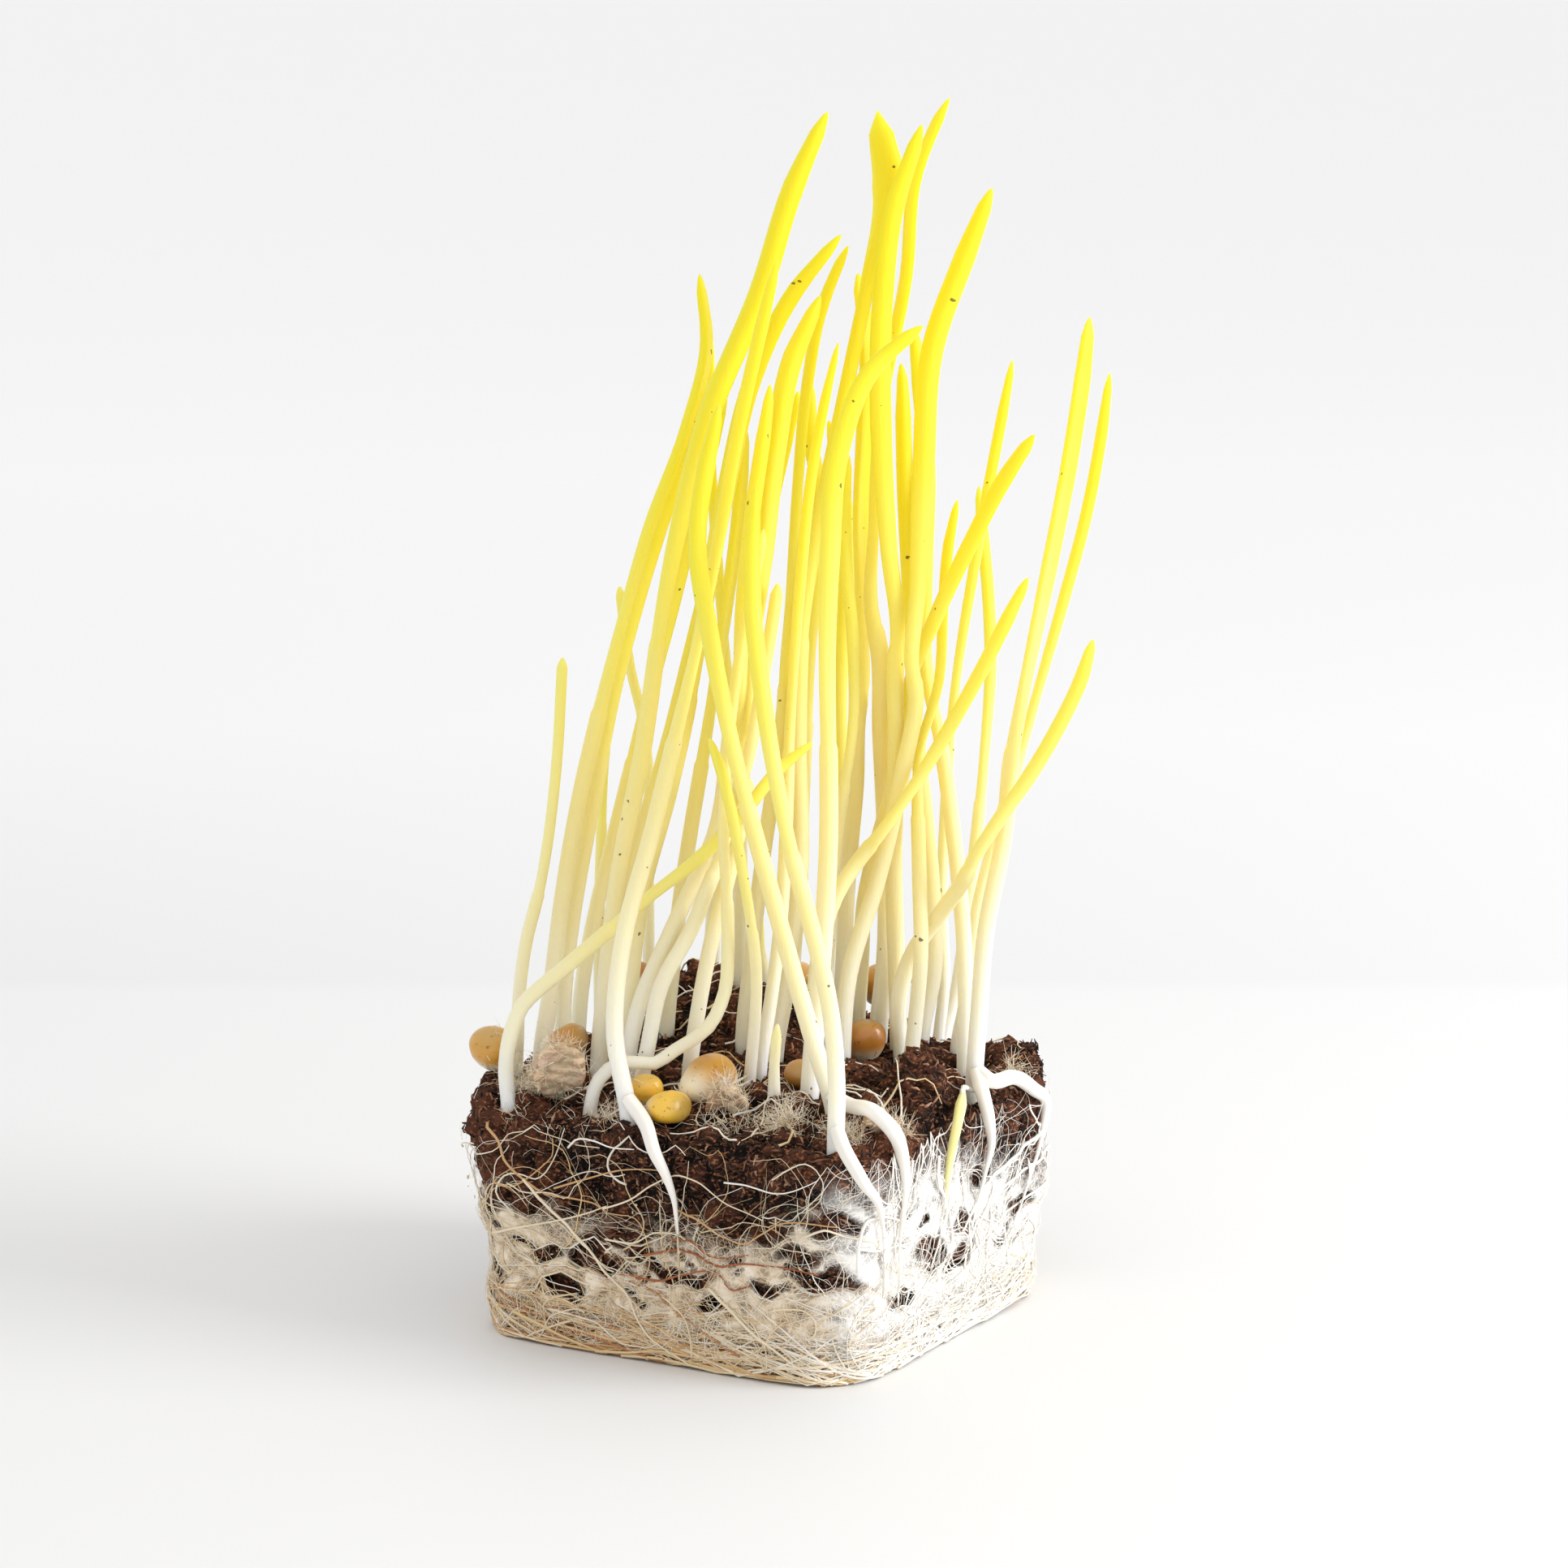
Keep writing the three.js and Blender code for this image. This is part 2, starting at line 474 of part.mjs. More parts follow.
// The centreline's section points, in the listed view, and their half widths.
function shootLine(shoot) {
  const [across, depth] = shoot.foot;
  const ground = soilTop(across, depth);
  const foot = new THREE.Vector3(across, depth, ground);
  const tip = shoot.way.at(-1)[1];
  const knots = shoot.way.map(([a, z]) => {
    const share = (z - ground) / (tip - ground);
    return new THREE.Vector3(a, THREE.MathUtils.lerp(depth, shoot.back, share), z);
  });
  const curve = new THREE.CatmullRomCurve3([foot, ...knots], false, 'centripetal');
  const grown = shoot.creeps ? CREEPING_SHARES : LONG_SHARES;
  const shares = curve.getLength() > SHORT_LENGTH ? grown : SHORT_SHARES;
  const sunk = new THREE.Vector3(across, depth, ground - STEM_SUNK);
  const points = [sunk, foot, ...shares.map((t) => curve.getPointAt(t))];
  const widths = [0, 0, ...shares].map((t) => halfWidth(shoot, t));
  const depths = [0, 0, ...shares].map((t) => halfDepth(shoot, t));
  return { points, widths, depths };
}

// Nearest points of two straight pieces, as shares along each and the step between them.
function nearest(a0, a1, b0, b1) {
  const u = a1.clone().sub(a0);
  const v = b1.clone().sub(b0);
  const w = a0.clone().sub(b0);
  const uu = u.dot(u);
  const uv = u.dot(v);
  const vv = v.dot(v);
  const det = uu * vv - uv * uv;
  const clamp = (t) => THREE.MathUtils.clamp(t, 0, 1);
  let s = det > 1e-6 ? clamp((uv * v.dot(w) - vv * u.dot(w)) / det) : 0.5;
  const t = clamp((uv * s + v.dot(w)) / vv);
  s = clamp((uv * t - u.dot(w)) / uu);
  const step = w.addScaledVector(u, s).addScaledVector(v, -t);
  return { s, t, step };
}

// Moves one piece of a line sideways; the foot and the point at the surface move together.
function shift(line, i, share, move) {
  const give = (k, weight) => {
    const moved = k < 2 ? [0, 1] : [k];
    moved.forEach((m) => line.points[m].addScaledVector(move, weight));
  };
  give(i, 1 - share);
  give(i + 1, share);
}

// Way out of a crowding: mostly in depth, so the shoots keep their places across the view.
function wayOut(step, order) {
  const depth = step.y + 0.15 * Math.sign(step.y || order);
  return new THREE.Vector3(0.4 * step.x, depth, 0).normalize();
}

function partPair(one, other) {
  for (let i = 0; i + 1 < one.points.length; i += 1) {
    for (let k = 0; k + 1 < other.points.length; k += 1) {
      const near = nearest(one.points[i], one.points[i + 1], other.points[k], other.points[k + 1]);
      const thick = Math.max(one.widths[i], one.widths[i + 1]);
      const need = thick + Math.max(other.widths[k], other.widths[k + 1]) + ROOM;
      const short = need - near.step.length();
      if (short > 0) {
        const move = wayOut(near.step, one.order - other.order).multiplyScalar(SETTLE_SHARE * short);
        shift(one, i, near.s, move);
        shift(other, k, near.t, move.negate());
      }
    }
  }
}

function partFromGrain(line, [across, depth, height, length]) {
  const grain = new THREE.Vector3(across, depth, height);
  for (let i = 0; i + 1 < line.points.length; i += 1) {
    const near = nearest(line.points[i], line.points[i + 1], grain, grain.clone().setZ(height + 0.01));
    const short = 0.5 * length + line.widths[i] + ROOM - near.step.length();
    if (short > 0) {
      const away = new THREE.Vector3(near.step.x || 0.1, near.step.y || 0.1, 0).normalize();
      shift(line, i, near.s, away.multiplyScalar(SETTLE_SHARE * short));
    }
  }
}

// Keeps every foot inside the plug's shoulder.
function keepInside(line) {
  const at = placed(line.points[1].x, line.points[1].y, 0);
  const most = SHOULDER_HALF - EDGE_ROOM - line.widths[0];
  const over = Math.max(Math.abs(at.x), Math.abs(at.y)) / most;
  if (over > 1) {
    line.points.slice(0, 2).forEach((p) => p.set(p.x / over, p.y / over, p.z));
  }
}

// Shoots, grown side by side, end up bent clear of each other and of the grains.
function settledLines() {
  const lines = SHOOTS.map(shootLine);
  lines.forEach((line, order) => Object.assign(line, { order }));
  for (let round = 0; round < SETTLE_ROUNDS; round += 1) {
    lines.forEach((line, i) => lines.slice(i + 1).forEach((other) => partPair(line, other)));
    lines.forEach((line) => [...GRAINS, ...HUSKS].forEach((grain) => partFromGrain(line, grain)));
    lines.forEach(keepInside);
  }
  return lines;
}

// A shoot's skin, turned to face one way.
function shootGeometry({ points, widths, depths }, facing) {
  const path = points.map((p) => placed(p.x, p.y, p.z));
  return tube(path, widths, depths, STEM_SIDES, facing);
}

// The hole that a shoot stands in: its lower sections, thicker all round.
function stemHole(line) {
  const low = line.points.slice(0, HOLE_SECTIONS);
  low[0] = low[0].clone().setZ(low[0].z - GAP);
  const widths = line.widths.slice(0, HOLE_SECTIONS).map((w) => w + HOLE_ROOM);
  return solid(shootGeometry({ points: low, widths, depths: widths }, new THREE.Vector3(1, 0, 0)));
}

// A popcorn grain: broad round crown, drawn in to a blunt point at the end that held the cob.
function grainGeometry(length, extra) {
  const rings = [];
  for (let r = 1; r < KERNEL_RINGS; r += 1) {
    const polar = (r / KERNEL_RINGS) * Math.PI;
    const along = -Math.cos(polar);
    const girth = Math.sin(polar) * (1 + GRAIN_CROWN * along);
    rings.push(Array.from({ length: KERNEL_SIDES }, (_, i) => {
      const turn = (i / KERNEL_SIDES) * 2 * Math.PI;
      return new THREE.Vector3(
        (0.5 * length * GRAIN_WIDTH * girth + extra) * Math.cos(turn),
        (0.5 * length * GRAIN_DEPTH * girth + extra) * Math.sin(turn),
        (0.5 * length + extra) * along,
      );
    }));
  }
  const end = 0.5 * length + extra;
  return loft(rings, new THREE.Vector3(0, 0, -end), new THREE.Vector3(0, 0, end));
}

// A split husk: a thin oval flake, curled along its width.
function huskGeometry(length, extra) {
  const rings = [];
  for (let r = 1; r < KERNEL_RINGS; r += 1) {
    const polar = (r / KERNEL_RINGS) * Math.PI;
    const girth = Math.sin(polar);
    rings.push(Array.from({ length: KERNEL_SIDES }, (_, i) => {
      const turn = (i / KERNEL_SIDES) * 2 * Math.PI;
      const across = (0.5 * length * HUSK_WIDTH * girth + extra) * Math.cos(turn);
      const curl = HUSK_CURL * across * across;
      const thick = (0.5 * HUSK_THICKNESS + extra) * Math.sin(turn);
      return new THREE.Vector3(across, thick - curl, -(0.5 * length + extra) * Math.cos(polar));
    }));
  }
  const end = 0.5 * length + extra;
  return loft(rings, new THREE.Vector3(0, 0, -end), new THREE.Vector3(0, 0, end));
}

function laid(geometry, [across, depth, height, , turn, tilt]) {
  const matrix = new THREE.Matrix4().makeRotationFromEuler(new THREE.Euler(
    THREE.MathUtils.degToRad(90 - tilt),
    0,
    THREE.MathUtils.degToRad(turn),
    'ZYX',
  ));
  return geometry.applyMatrix4(matrix.setPosition(placed(across, depth, height)));
}

const plant = new THREE.Group();

function addPiece(name, geometry, color, roughness) {
  const material = new THREE.MeshStandardMaterial({ color, roughness, metalness: 0 });
  const mesh = new THREE.Mesh(geometry, material);
  mesh.name = name;
  plant.add(mesh);
}

const numbered = (word, i) => `${word}_${String(i + 1).padStart(2, '0')}`;

const lines = settledLines();
const holes = lines.map(stemHole);
const grainSockets = GRAINS.map((grain) => solid(laid(grainGeometry(grain[3], GAP), grain)));
const huskSockets = HUSKS.map((husk) => solid(laid(huskGeometry(husk[3], GAP), husk)));
const rootGrooves = STEM_ROOTS.map((root) => stemRoot(root, lines, GAP));
const cuts = wasm.Manifold.union([...holes, ...grainSockets, ...huskSockets, ...rootGrooves]);

addPiece('soil_plug', skin(solid(soilBlock()).subtract(cuts)), 0x2e1d14, 0.95);
addPiece('root_mat', rootMat(lines), 0xe6d6b0, 0.85);

const faceDraw = drawing(23);
lines.forEach((line, i) => {
  const drawn = faceDraw() * Math.PI;
  const turn = SHOOTS[i].broad ? VIEW_TURN : drawn;
  const facing = new THREE.Vector3(Math.cos(turn), Math.sin(turn), 0);
  addPiece(numbered('shoot', i), shootGeometry(line, facing), 0xf2e06a, 0.5);
});
GRAINS.forEach((grain, i) => {
  addPiece(numbered('grain', i), laid(grainGeometry(grain[3], 0), grain), 0xc98f35, 0.4);
});
HUSKS.forEach((husk, i) => {
  addPiece(numbered('husk', i), laid(huskGeometry(husk[3], 0), husk), 0xd9c3a4, 0.6);
});

export default plant;
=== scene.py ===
# %% [markdown]
# # Popcorn shoots on their plug of soil
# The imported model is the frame, with a node for the soil, the root mat and each shoot, grain and
# husk. This lesson builds the finer surface of each of them in place, in metres.

# %% Load the frame
import math
import random

import bmesh
import bpy
import numpy as np
from mathutils import Matrix, Vector, noise
from mathutils.bvhtree import BVHTree


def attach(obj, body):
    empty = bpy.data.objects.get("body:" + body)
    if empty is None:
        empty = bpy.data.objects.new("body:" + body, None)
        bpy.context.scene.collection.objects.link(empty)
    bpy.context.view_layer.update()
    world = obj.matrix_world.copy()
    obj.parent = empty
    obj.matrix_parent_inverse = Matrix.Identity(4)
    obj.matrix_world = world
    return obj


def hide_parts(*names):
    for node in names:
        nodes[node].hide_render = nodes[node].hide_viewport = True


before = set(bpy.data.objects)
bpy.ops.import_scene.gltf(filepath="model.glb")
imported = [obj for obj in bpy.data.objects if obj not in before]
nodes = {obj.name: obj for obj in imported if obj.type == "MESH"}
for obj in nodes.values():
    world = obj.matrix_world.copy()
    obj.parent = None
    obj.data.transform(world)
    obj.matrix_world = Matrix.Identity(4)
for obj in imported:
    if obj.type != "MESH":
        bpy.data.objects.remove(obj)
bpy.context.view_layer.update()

MM = 0.001

# %% [markdown]
# ## Camera
# The plug is seen from one corner, a little from above, with a long lens. `seen` takes a place as the
# eye sees it, across, deep and high in millimetres, and gives the frame's X, Y and Z.

# %% Camera
VIEW_TURN = math.radians(29.5)
VIEW_TILT = math.radians(11.25)
VIEW_DISTANCE = 0.800
VIEW_ANGLE = math.radians(15.9)
VIEW_AIM = (2.9, 0, 77.6)
ACROSS = Vector((math.cos(VIEW_TURN), math.sin(VIEW_TURN), 0))
AWAY = Vector((-math.sin(VIEW_TURN), math.cos(VIEW_TURN), 0))
UP = Vector((0, 0, 1))


def seen(across, depth, height):
    return (ACROSS * across + AWAY * depth + UP * height) * MM


aim = seen(*VIEW_AIM)
to_eye = UP * math.sin(VIEW_TILT) - AWAY * math.cos(VIEW_TILT)
camera = bpy.data.objects.new("camera", bpy.data.cameras.new("camera"))
camera.data.angle = VIEW_ANGLE
camera.location = aim + to_eye * VIEW_DISTANCE
camera.rotation_mode = "QUATERNION"
camera.rotation_quaternion = (-to_eye).to_track_quat("-Z", "Y")
bpy.context.scene.collection.objects.link(camera)
bpy.context.scene.camera = camera
print("camera at", camera.location)

# %% [markdown]
# ## Shader arithmetic
# `Wire` wraps one socket of a material, so that `1 - mask` adds the Math node itself. All other nodes
# come from `Finish.node`: a kind, its settings, and what feeds its sockets.

# %% Sockets and finishes
class Wire:
    """One output socket; arithmetic on it adds Math nodes."""

    def __init__(self, finish, socket):
        self.finish = finish
        self.socket = socket

    def _math(self, operation, first, second):
        return self.finish.node("Math", {"operation": operation}, {0: first, 1: second})

    def __add__(self, other):
        return self._math("ADD", self, other)

    def __sub__(self, other):
        return self._math("SUBTRACT", self, other)

    def __rsub__(self, other):
        return self._math("SUBTRACT", other, self)

    def __mul__(self, other):
        return self._math("MULTIPLY", self, other)

    __radd__ = __add__
    __rmul__ = __mul__


class Finish:
    """A procedural material around one Principled surface."""

    def __init__(self, name, **constants):
        self.material = bpy.data.materials.new(name)
        self.material.use_nodes = True
        self.tree = self.material.node_tree
        self.surface = self.tree.nodes["Principled BSDF"]
        self.links(**constants)

    def feed(self, socket, value):
        if isinstance(value, Wire):
            self.tree.links.new(value.socket, socket)
        else:
            socket.default_value = value

    def node(self, kind, settings=None, sockets=None, out=0):
        made = self.tree.nodes.new("ShaderNode" + kind)
        for name, value in (settings or {}).items():
            setattr(made, name, value)
        for name, value in (sockets or {}).items():
            self.feed(made.inputs[name], value)
        return Wire(self, made.outputs[out])

    def links(self, **values):
        for socket, value in values.items():
            self.feed(self.surface.inputs[socket.replace("_", " ")], value)
        return self.material

    def attribute(self, name, out="Fac"):
        return self.node("Attribute", {"attribute_name": name}, out=out)

    def place(self, scale=(1, 1, 1), turn=(0, 0, 0)):
        at = self.node("TexCoord", out="Object")
        return self.node("Mapping", None, {"Vector": at, "Scale": scale, "Rotation": turn})

    def along(self, axis, **placing):
        return self.node("SeparateXYZ", None, {0: self.place(**placing)}, out=axis)

    def cloud(self, scale, detail, at=None):
        sockets = {"Vector": at or self.place(), "Scale": scale, "Detail": detail}
        return self.node("TexNoise", None, sockets)

    def cells(self, at, scale):
        """Distance to the nearest edge of a net of cells, in two dimensions."""
        settings = {"feature": "DISTANCE_TO_EDGE", "voronoi_dimensions": "2D"}
        return self.node("TexVoronoi", settings, {"Vector": at, "Scale": scale})

    def swirled(self, at, scale, reach):
        """The same places, pushed about by a slow noise."""
        push = self.node("TexNoise", None, {"Vector": at, "Scale": scale}, out="Color")
        settings = {"operation": "MULTIPLY_ADD"}
        return self.node("VectorMath", settings, {0: push, 1: (reach, reach, 0), 2: at})

    def ramp(self, fac, stops):
        """Each stop is a place from 0 to 1 and a colour for `shade`."""
        made = self.node("ValToRGB", None, {"Fac": fac})
        elements = made.socket.node.color_ramp.elements
        while len(elements) < len(stops):
            elements.new(0.5)
        for element, (place, *colour) in zip(elements, stops):
            element.position = place
            element.color = shade(*colour)
        return made

    def between(self, value, low, high):
        settings = {"interpolation_type": "SMOOTHSTEP"}
        return self.node("MapRange", settings, {0: value, 1: low, 2: high})

    def mix(self, share, one, other):
        """Each side is a wire or a colour for `shade`."""
        one, other = [side if isinstance(side, Wire) else shade(*side) for side in (one, other)]
        return self.node("Mix", {"data_type": "RGBA"}, {0: share, 6: one, 7: other}, out=2)

    def bump(self, height, strength, depth):
        sockets = {"Height": height, "Strength": strength, "Distance": depth}
        return self.node("Bump", None, sockets)


def shade(red, green, blue):
    """A colour as the screen shows it, 0 to 255, in the linear form that shaders take."""
    screen = [channel / 255 for channel in (red, green, blue)]
    linear = [c / 12.92 if c < 0.04045 else ((c + 0.055) / 1.055) ** 2.4 for c in screen]
    return (*linear, 1.0)


print("finishes are ready")

# %% [markdown]
# ## Putting a piece in the scene
# Every piece rides on the part's one body, "root", and hides the nodes that it stands for. Smaller
# helpers copy a node, close a shape into a mesh, and read or write arrays.

# %% Placing pieces
def place_piece(name, mesh, material, stands_for=()):
    piece = bpy.data.objects.new(name, mesh)
    bpy.context.scene.collection.objects.link(piece)
    mesh.materials.clear()
    mesh.materials.append(material)
    mesh.shade_smooth()
    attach(piece, "root")
    if stands_for:
        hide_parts(*stands_for)
    print(name, "faces:", len(mesh.polygons))


def mesh_of(shape, name):
    bmesh.ops.recalc_face_normals(shape, faces=shape.faces)
    mesh = bpy.data.meshes.new(name)
    shape.to_mesh(mesh)
    shape.free()
    return mesh


def write_attribute(mesh, name, values):
    values = np.asarray(values, np.float32)
    kind, field = ("FLOAT", "value") if values.ndim == 1 else ("FLOAT_VECTOR", "vector")
    mesh.attributes.new(name, kind, "POINT").data.foreach_set(field, values.ravel())


def read_vectors(items, name):
    values = np.empty(len(items) * 3, np.float32)
    items.foreach_get(name, values)
    return values.reshape(-1, 3)


SAME_PLACE = 1e-6


def merged_copy(node):
    shape = bmesh.new()
    shape.from_mesh(nodes[node].data)
    bmesh.ops.remove_doubles(shape, verts=shape.verts, dist=SAME_PLACE)
    return shape


print("helpers are ready")

# %% [markdown]
# ## The shoots' finish
# Shoots grown in the dark are white at the foot, cream on the sheath and strong yellow at the tip. The
# attribute "ripe" carries that. Fine streaks run up the leaf, and light passes into the flesh.

# %% Shoot finish
def shoot_finish():
    f = Finish("shoot_flesh", Subsurface_Weight=0.85, Subsurface_Scale=0.003,
               Subsurface_Radius=(1.0, 0.85, 0.45), Specular_IOR_Level=0.3)
    ripe = f.attribute("ripe")
    streaks = f.cloud(1.0, 3.0, f.place(scale=(2600, 2600, 45)))
    patches = f.cloud(120.0, 2.0)
    drift = (streaks - 0.5) * 0.10 + (patches - 0.5) * 0.12
    colour = f.ramp(ripe + drift * ripe, [
        (0.00, 249, 244, 236),
        (0.12, 246, 237, 212),
        (0.30, 245, 229, 172),
        (0.46, 247, 229, 138),
        (0.62, 249, 230, 106),
        (0.82, 250, 228, 60),
        (1.00, 250, 223, 36),
    ])
    specks = f.between(f.cloud(700.0, 1.0), 0.775, 0.79)
    return f.links(
        Base_Color=f.mix(specks * 0.8, colour, (74, 52, 30)),
        Roughness=0.52 - 0.14 * streaks,
        Normal=f.bump(streaks, 0.35, 0.00025),
    )


flesh = shoot_finish()
print("finish:", flesh.name)

# %% [markdown]
# ## Reading a shoot back from its node
# A shoot's node is a five-sided tube. From the middle of its cut foot, each step along the edges
# reaches the next ring, so the rings come in order, with their middles and half widths.

# %% Rings of a node
CUT_SLACK = 0.02 * MM


def rings_from(start):
    reached = {start}
    layer = [start]
    rings = []
    while layer:
        rings.append(np.array([corner.co for corner in layer]))
        beside = {e.other_vert(v) for v in layer for e in v.link_edges}
        layer = sorted(beside - reached, key=lambda v: v.index)
        reached |= beside
    return rings


def foot_corner(shape):
    lowest = min(v.co.z for v in shape.verts)
    cut = [v for v in shape.verts if v.co.z < lowest + CUT_SLACK]
    centre = sum((v.co for v in cut), Vector()) / len(cut)
    return min(cut, key=lambda v: (v.co - centre).length)


def spread(ring):
    """Half widths and their directions: the widest first."""
    flat = ring - ring.mean(0)
    values, axes = np.linalg.eigh(flat.T @ flat / len(ring))
    return np.sqrt(2 * np.maximum(values[::-1], 0)), axes[:, ::-1].T


def read_shoot(node):
    shape = merged_copy(node)
    shape.verts.index_update()
    rings = rings_from(foot_corner(shape))[1:]
    shape.free()
    centres = np.array([ring.mean(0) for ring in rings])
    halves = np.array([spread(ring)[0][:2] if len(ring) > 1 else (0, 0) for ring in rings])
    return centres, halves, rings


shoot_names = sorted(n for n in nodes if n.startswith("shoot"))
print("shoots:", len(shoot_names), "rings in the first:", len(read_shoot(shoot_names[0])[0]))

# %% [markdown]
# ## Growing the fine shoots
# A smooth line passes through the ring middles, and circles along it are bridged. They are round up to
# the sheath's end. Above it they bend into the crescent of a rolled leaf, which slowly turns.

# %% Smooth lines
SHOOT_SIDES = 12
SHOOT_STEP = 2.4 * MM
TIP_SECTIONS = 6
TIP_END = 0.12 * MM
TIP_ROUNDING = 0.62


def lengths_along(points):
    """The length reached at each point of a line."""
    return np.concatenate([[0], np.cumsum(np.linalg.norm(np.diff(points, axis=0), axis=1))])


def smooth_line(points, lengths, at):
    """Cubic pieces through the points, given the length reached at each of them."""
    gaps = np.diff(lengths)[:, None]
    slopes = np.diff(points, axis=0) / gaps
    inner = (gaps[1:] * slopes[:-1] + gaps[:-1] * slopes[1:]) / (gaps[1:] + gaps[:-1])
    tangents = np.vstack([slopes[:1], inner, slopes[-1:]])
    i = np.clip(np.searchsorted(lengths, at, side="right") - 1, 0, len(gaps) - 1)
    h = gaps[i]
    t = ((at - lengths[i])[:, None]) / h
    ends = (2 * t**3 - 3 * t**2 + 1) * points[i] + (3 * t**2 - 2 * t**3) * points[i + 1]
    pulls = (t**3 - 2 * t**2 + t) * h * tangents[i] + (t**3 - t**2) * h * tangents[i + 1]
    return ends + pulls


def stations(lengths):
    """Where the circles sit: every ring, and even steps between rings."""
    places = [np.linspace(a, b, max(2, int((b - a) / SHOOT_STEP) + 1), endpoint=False)
              for a, b in zip(lengths[:-1], lengths[1:])]
    tip = np.linspace(lengths[-2], lengths[-1], TIP_SECTIONS, endpoint=False)
    return np.concatenate(places[:-1] + [tip, [lengths[-1] - TIP_END]])


print("a shoot has", SHOOT_SIDES, "sides")

# %% [markdown]
# The sheath ends in a small step, found as the shortest gap between rings. The colour jumps there too,
# because the leaf inside the sheath is already yellow.

# %% Sections of a leaf
LEAF_CURL = 0.55
LEAF_FOLD = 0.30
FOLD_SHARPNESS = 6
RIPE_HEIGHTS = [34, 60, 90, 115, 150]
RIPE_BY_HEIGHT = [0, 0.24, 0.42, 0.68, 1]


def eased(value, low, high):
    t = np.clip((value - low) / (high - low), 0, 1)
    return t * t * (3 - 2 * t)


def leaf_section(corner, wide, deep, rolled):
    """One corner of the unit circle, laid out as the section of stem or rolled leaf."""
    x, y = corner.x, corner.y
    bent = LEAF_CURL * wide * (x * x - 0.5) * rolled
    fold = LEAF_FOLD * deep * max(0.0, y) ** FOLD_SHARPNESS * rolled
    return x * wide, y * deep - bent - fold


def ripeness(share, sheath_end, bud, height):
    """From 0 to 1, half by the share of the shoot's length and half by the height in millimetres."""
    below = np.interp(share, [0, 0.1, 0.25, sheath_end], [0.0, 0.10, 0.26, 0.44])
    above = np.interp(share, [sheath_end, 0.6, 0.75, 1], [0.5, 0.68, 0.86, 1.0])
    whole = np.where(share <= sheath_end, below, above)
    grown = np.interp(share, [0, 0.3, 1], [0.0, 0.2, 0.56]) if bud else whole
    return 0.5 * grown + 0.5 * np.interp(height, RIPE_HEIGHTS, RIPE_BY_HEIGHT)


print("sheath and leaf sections are ready")

# %% [markdown]
# A shoot is read, laid out in circles along its line, bridged and closed at both ends.

# %% One shoot
BUDS = ("shoot_01", "shoot_06", "shoot_10", "shoot_12", "shoot_36")
BROAD_LEAF = "shoot_29"
LEAF_TWIST = 0.9
RIPE_SPREAD = 0.05
ROLL_LENGTH = 0.25
LAST_CIRCLE = 0.35
THINNEST = 1e-6
STEP_SLACK = 1e-4


def grow_shoot(node, draw):
    centres, halves, rings = read_shoot(node)
    lengths = lengths_along(centres)
    at = stations(lengths)
    line = smooth_line(centres, lengths, at)
    tip_share = np.clip((at - lengths[-2]) / (lengths[-1] - lengths[-2]), 0, 1)
    rounding = 1 if node == BROAD_LEAF else (1 - tip_share) ** (TIP_ROUNDING - 1)
    wide = np.interp(at, lengths, halves[:, 0]) * rounding
    deep = np.interp(at, lengths, halves[:, 1]) * rounding
    ground = lengths[1]
    share = np.clip((at - ground) / (lengths[-1] - ground), 0, 1)
    step = 1 + int(np.argmin(np.diff(lengths[1:-1])))
    sheath_end = (lengths[step] - ground) / (lengths[-1] - ground) + STEP_SLACK
    bud = node in BUDS
    ratio = halves[2:-1, 0] / np.maximum(halves[2:-1, 1], THINNEST)
    facing = Vector(spread(rings[2 + int(np.argmax(ratio))])[1][0])
    twist = draw.uniform(-LEAF_TWIST, LEAF_TWIST)
    ripe = ripeness(share, sheath_end, bud, line[:, 2] / MM)
    ripe = ripe + draw.uniform(-RIPE_SPREAD, RIPE_SPREAD)
    shape = bmesh.new()
    loops = []
    for i, centre in enumerate(line):
        along = Vector(line[min(i + 1, len(line) - 1)] - line[max(i - 1, 0)]).normalized()
        side = (facing - along * facing.dot(along)).normalized()
        side.rotate(Matrix.Rotation(twist * max(0.0, share[i] - sheath_end), 3, along))
        front = along.cross(side)
        rolled = 0.0 if bud else float(eased(share[i], sheath_end, sheath_end + ROLL_LENGTH))
        end = LAST_CIRCLE if i == len(line) - 1 else 1.0
        circle = bmesh.ops.create_circle(shape, segments=SHOOT_SIDES, radius=1)["verts"]
        for corner in circle:
            x, y = leaf_section(corner.co, wide[i] * end, deep[i] * end, rolled)
            corner.co = Vector(centre) + side * x + front * y
        loops.append(circle)
    for lower, upper in zip(loops, loops[1:]):
        edges = {e for v in lower + upper for e in v.link_edges if not e.link_faces or e.is_boundary}
        bmesh.ops.bridge_loops(shape, edges=list(edges))
    bmesh.ops.holes_fill(shape, edges=shape.edges, sides=SHOOT_SIDES)
    mesh = mesh_of(shape, node)
    write_attribute(mesh, "ripe", np.repeat(np.clip(ripe, 0, 1), SHOOT_SIDES))
    return mesh

# %% [markdown]
# One seeded draw gives each shoot its twist and a little of its colour.

# %% All shoots
shoot_draw = random.Random(11)
for name in shoot_names:
    place_piece("fine_" + name, grow_shoot(name, shoot_draw), flesh, [name])

# %% [markdown]
# ## The soil
# The plug is dark peat and coir. A voxel remesh spreads even faces over a copy of the node, and every
# corner moves along its normal, in lumps, crumbs and grit. The relief is real, not only bump, because
# the plug's outline shows against the white table.

# %% Even faces over a node
def made_mesh(carrier):
    bpy.context.scene.collection.objects.link(carrier)
    evaluated = carrier.evaluated_get(bpy.context.evaluated_depsgraph_get())
    mesh = bpy.data.meshes.new_from_object(evaluated)
    bpy.data.objects.remove(carrier)
    return mesh


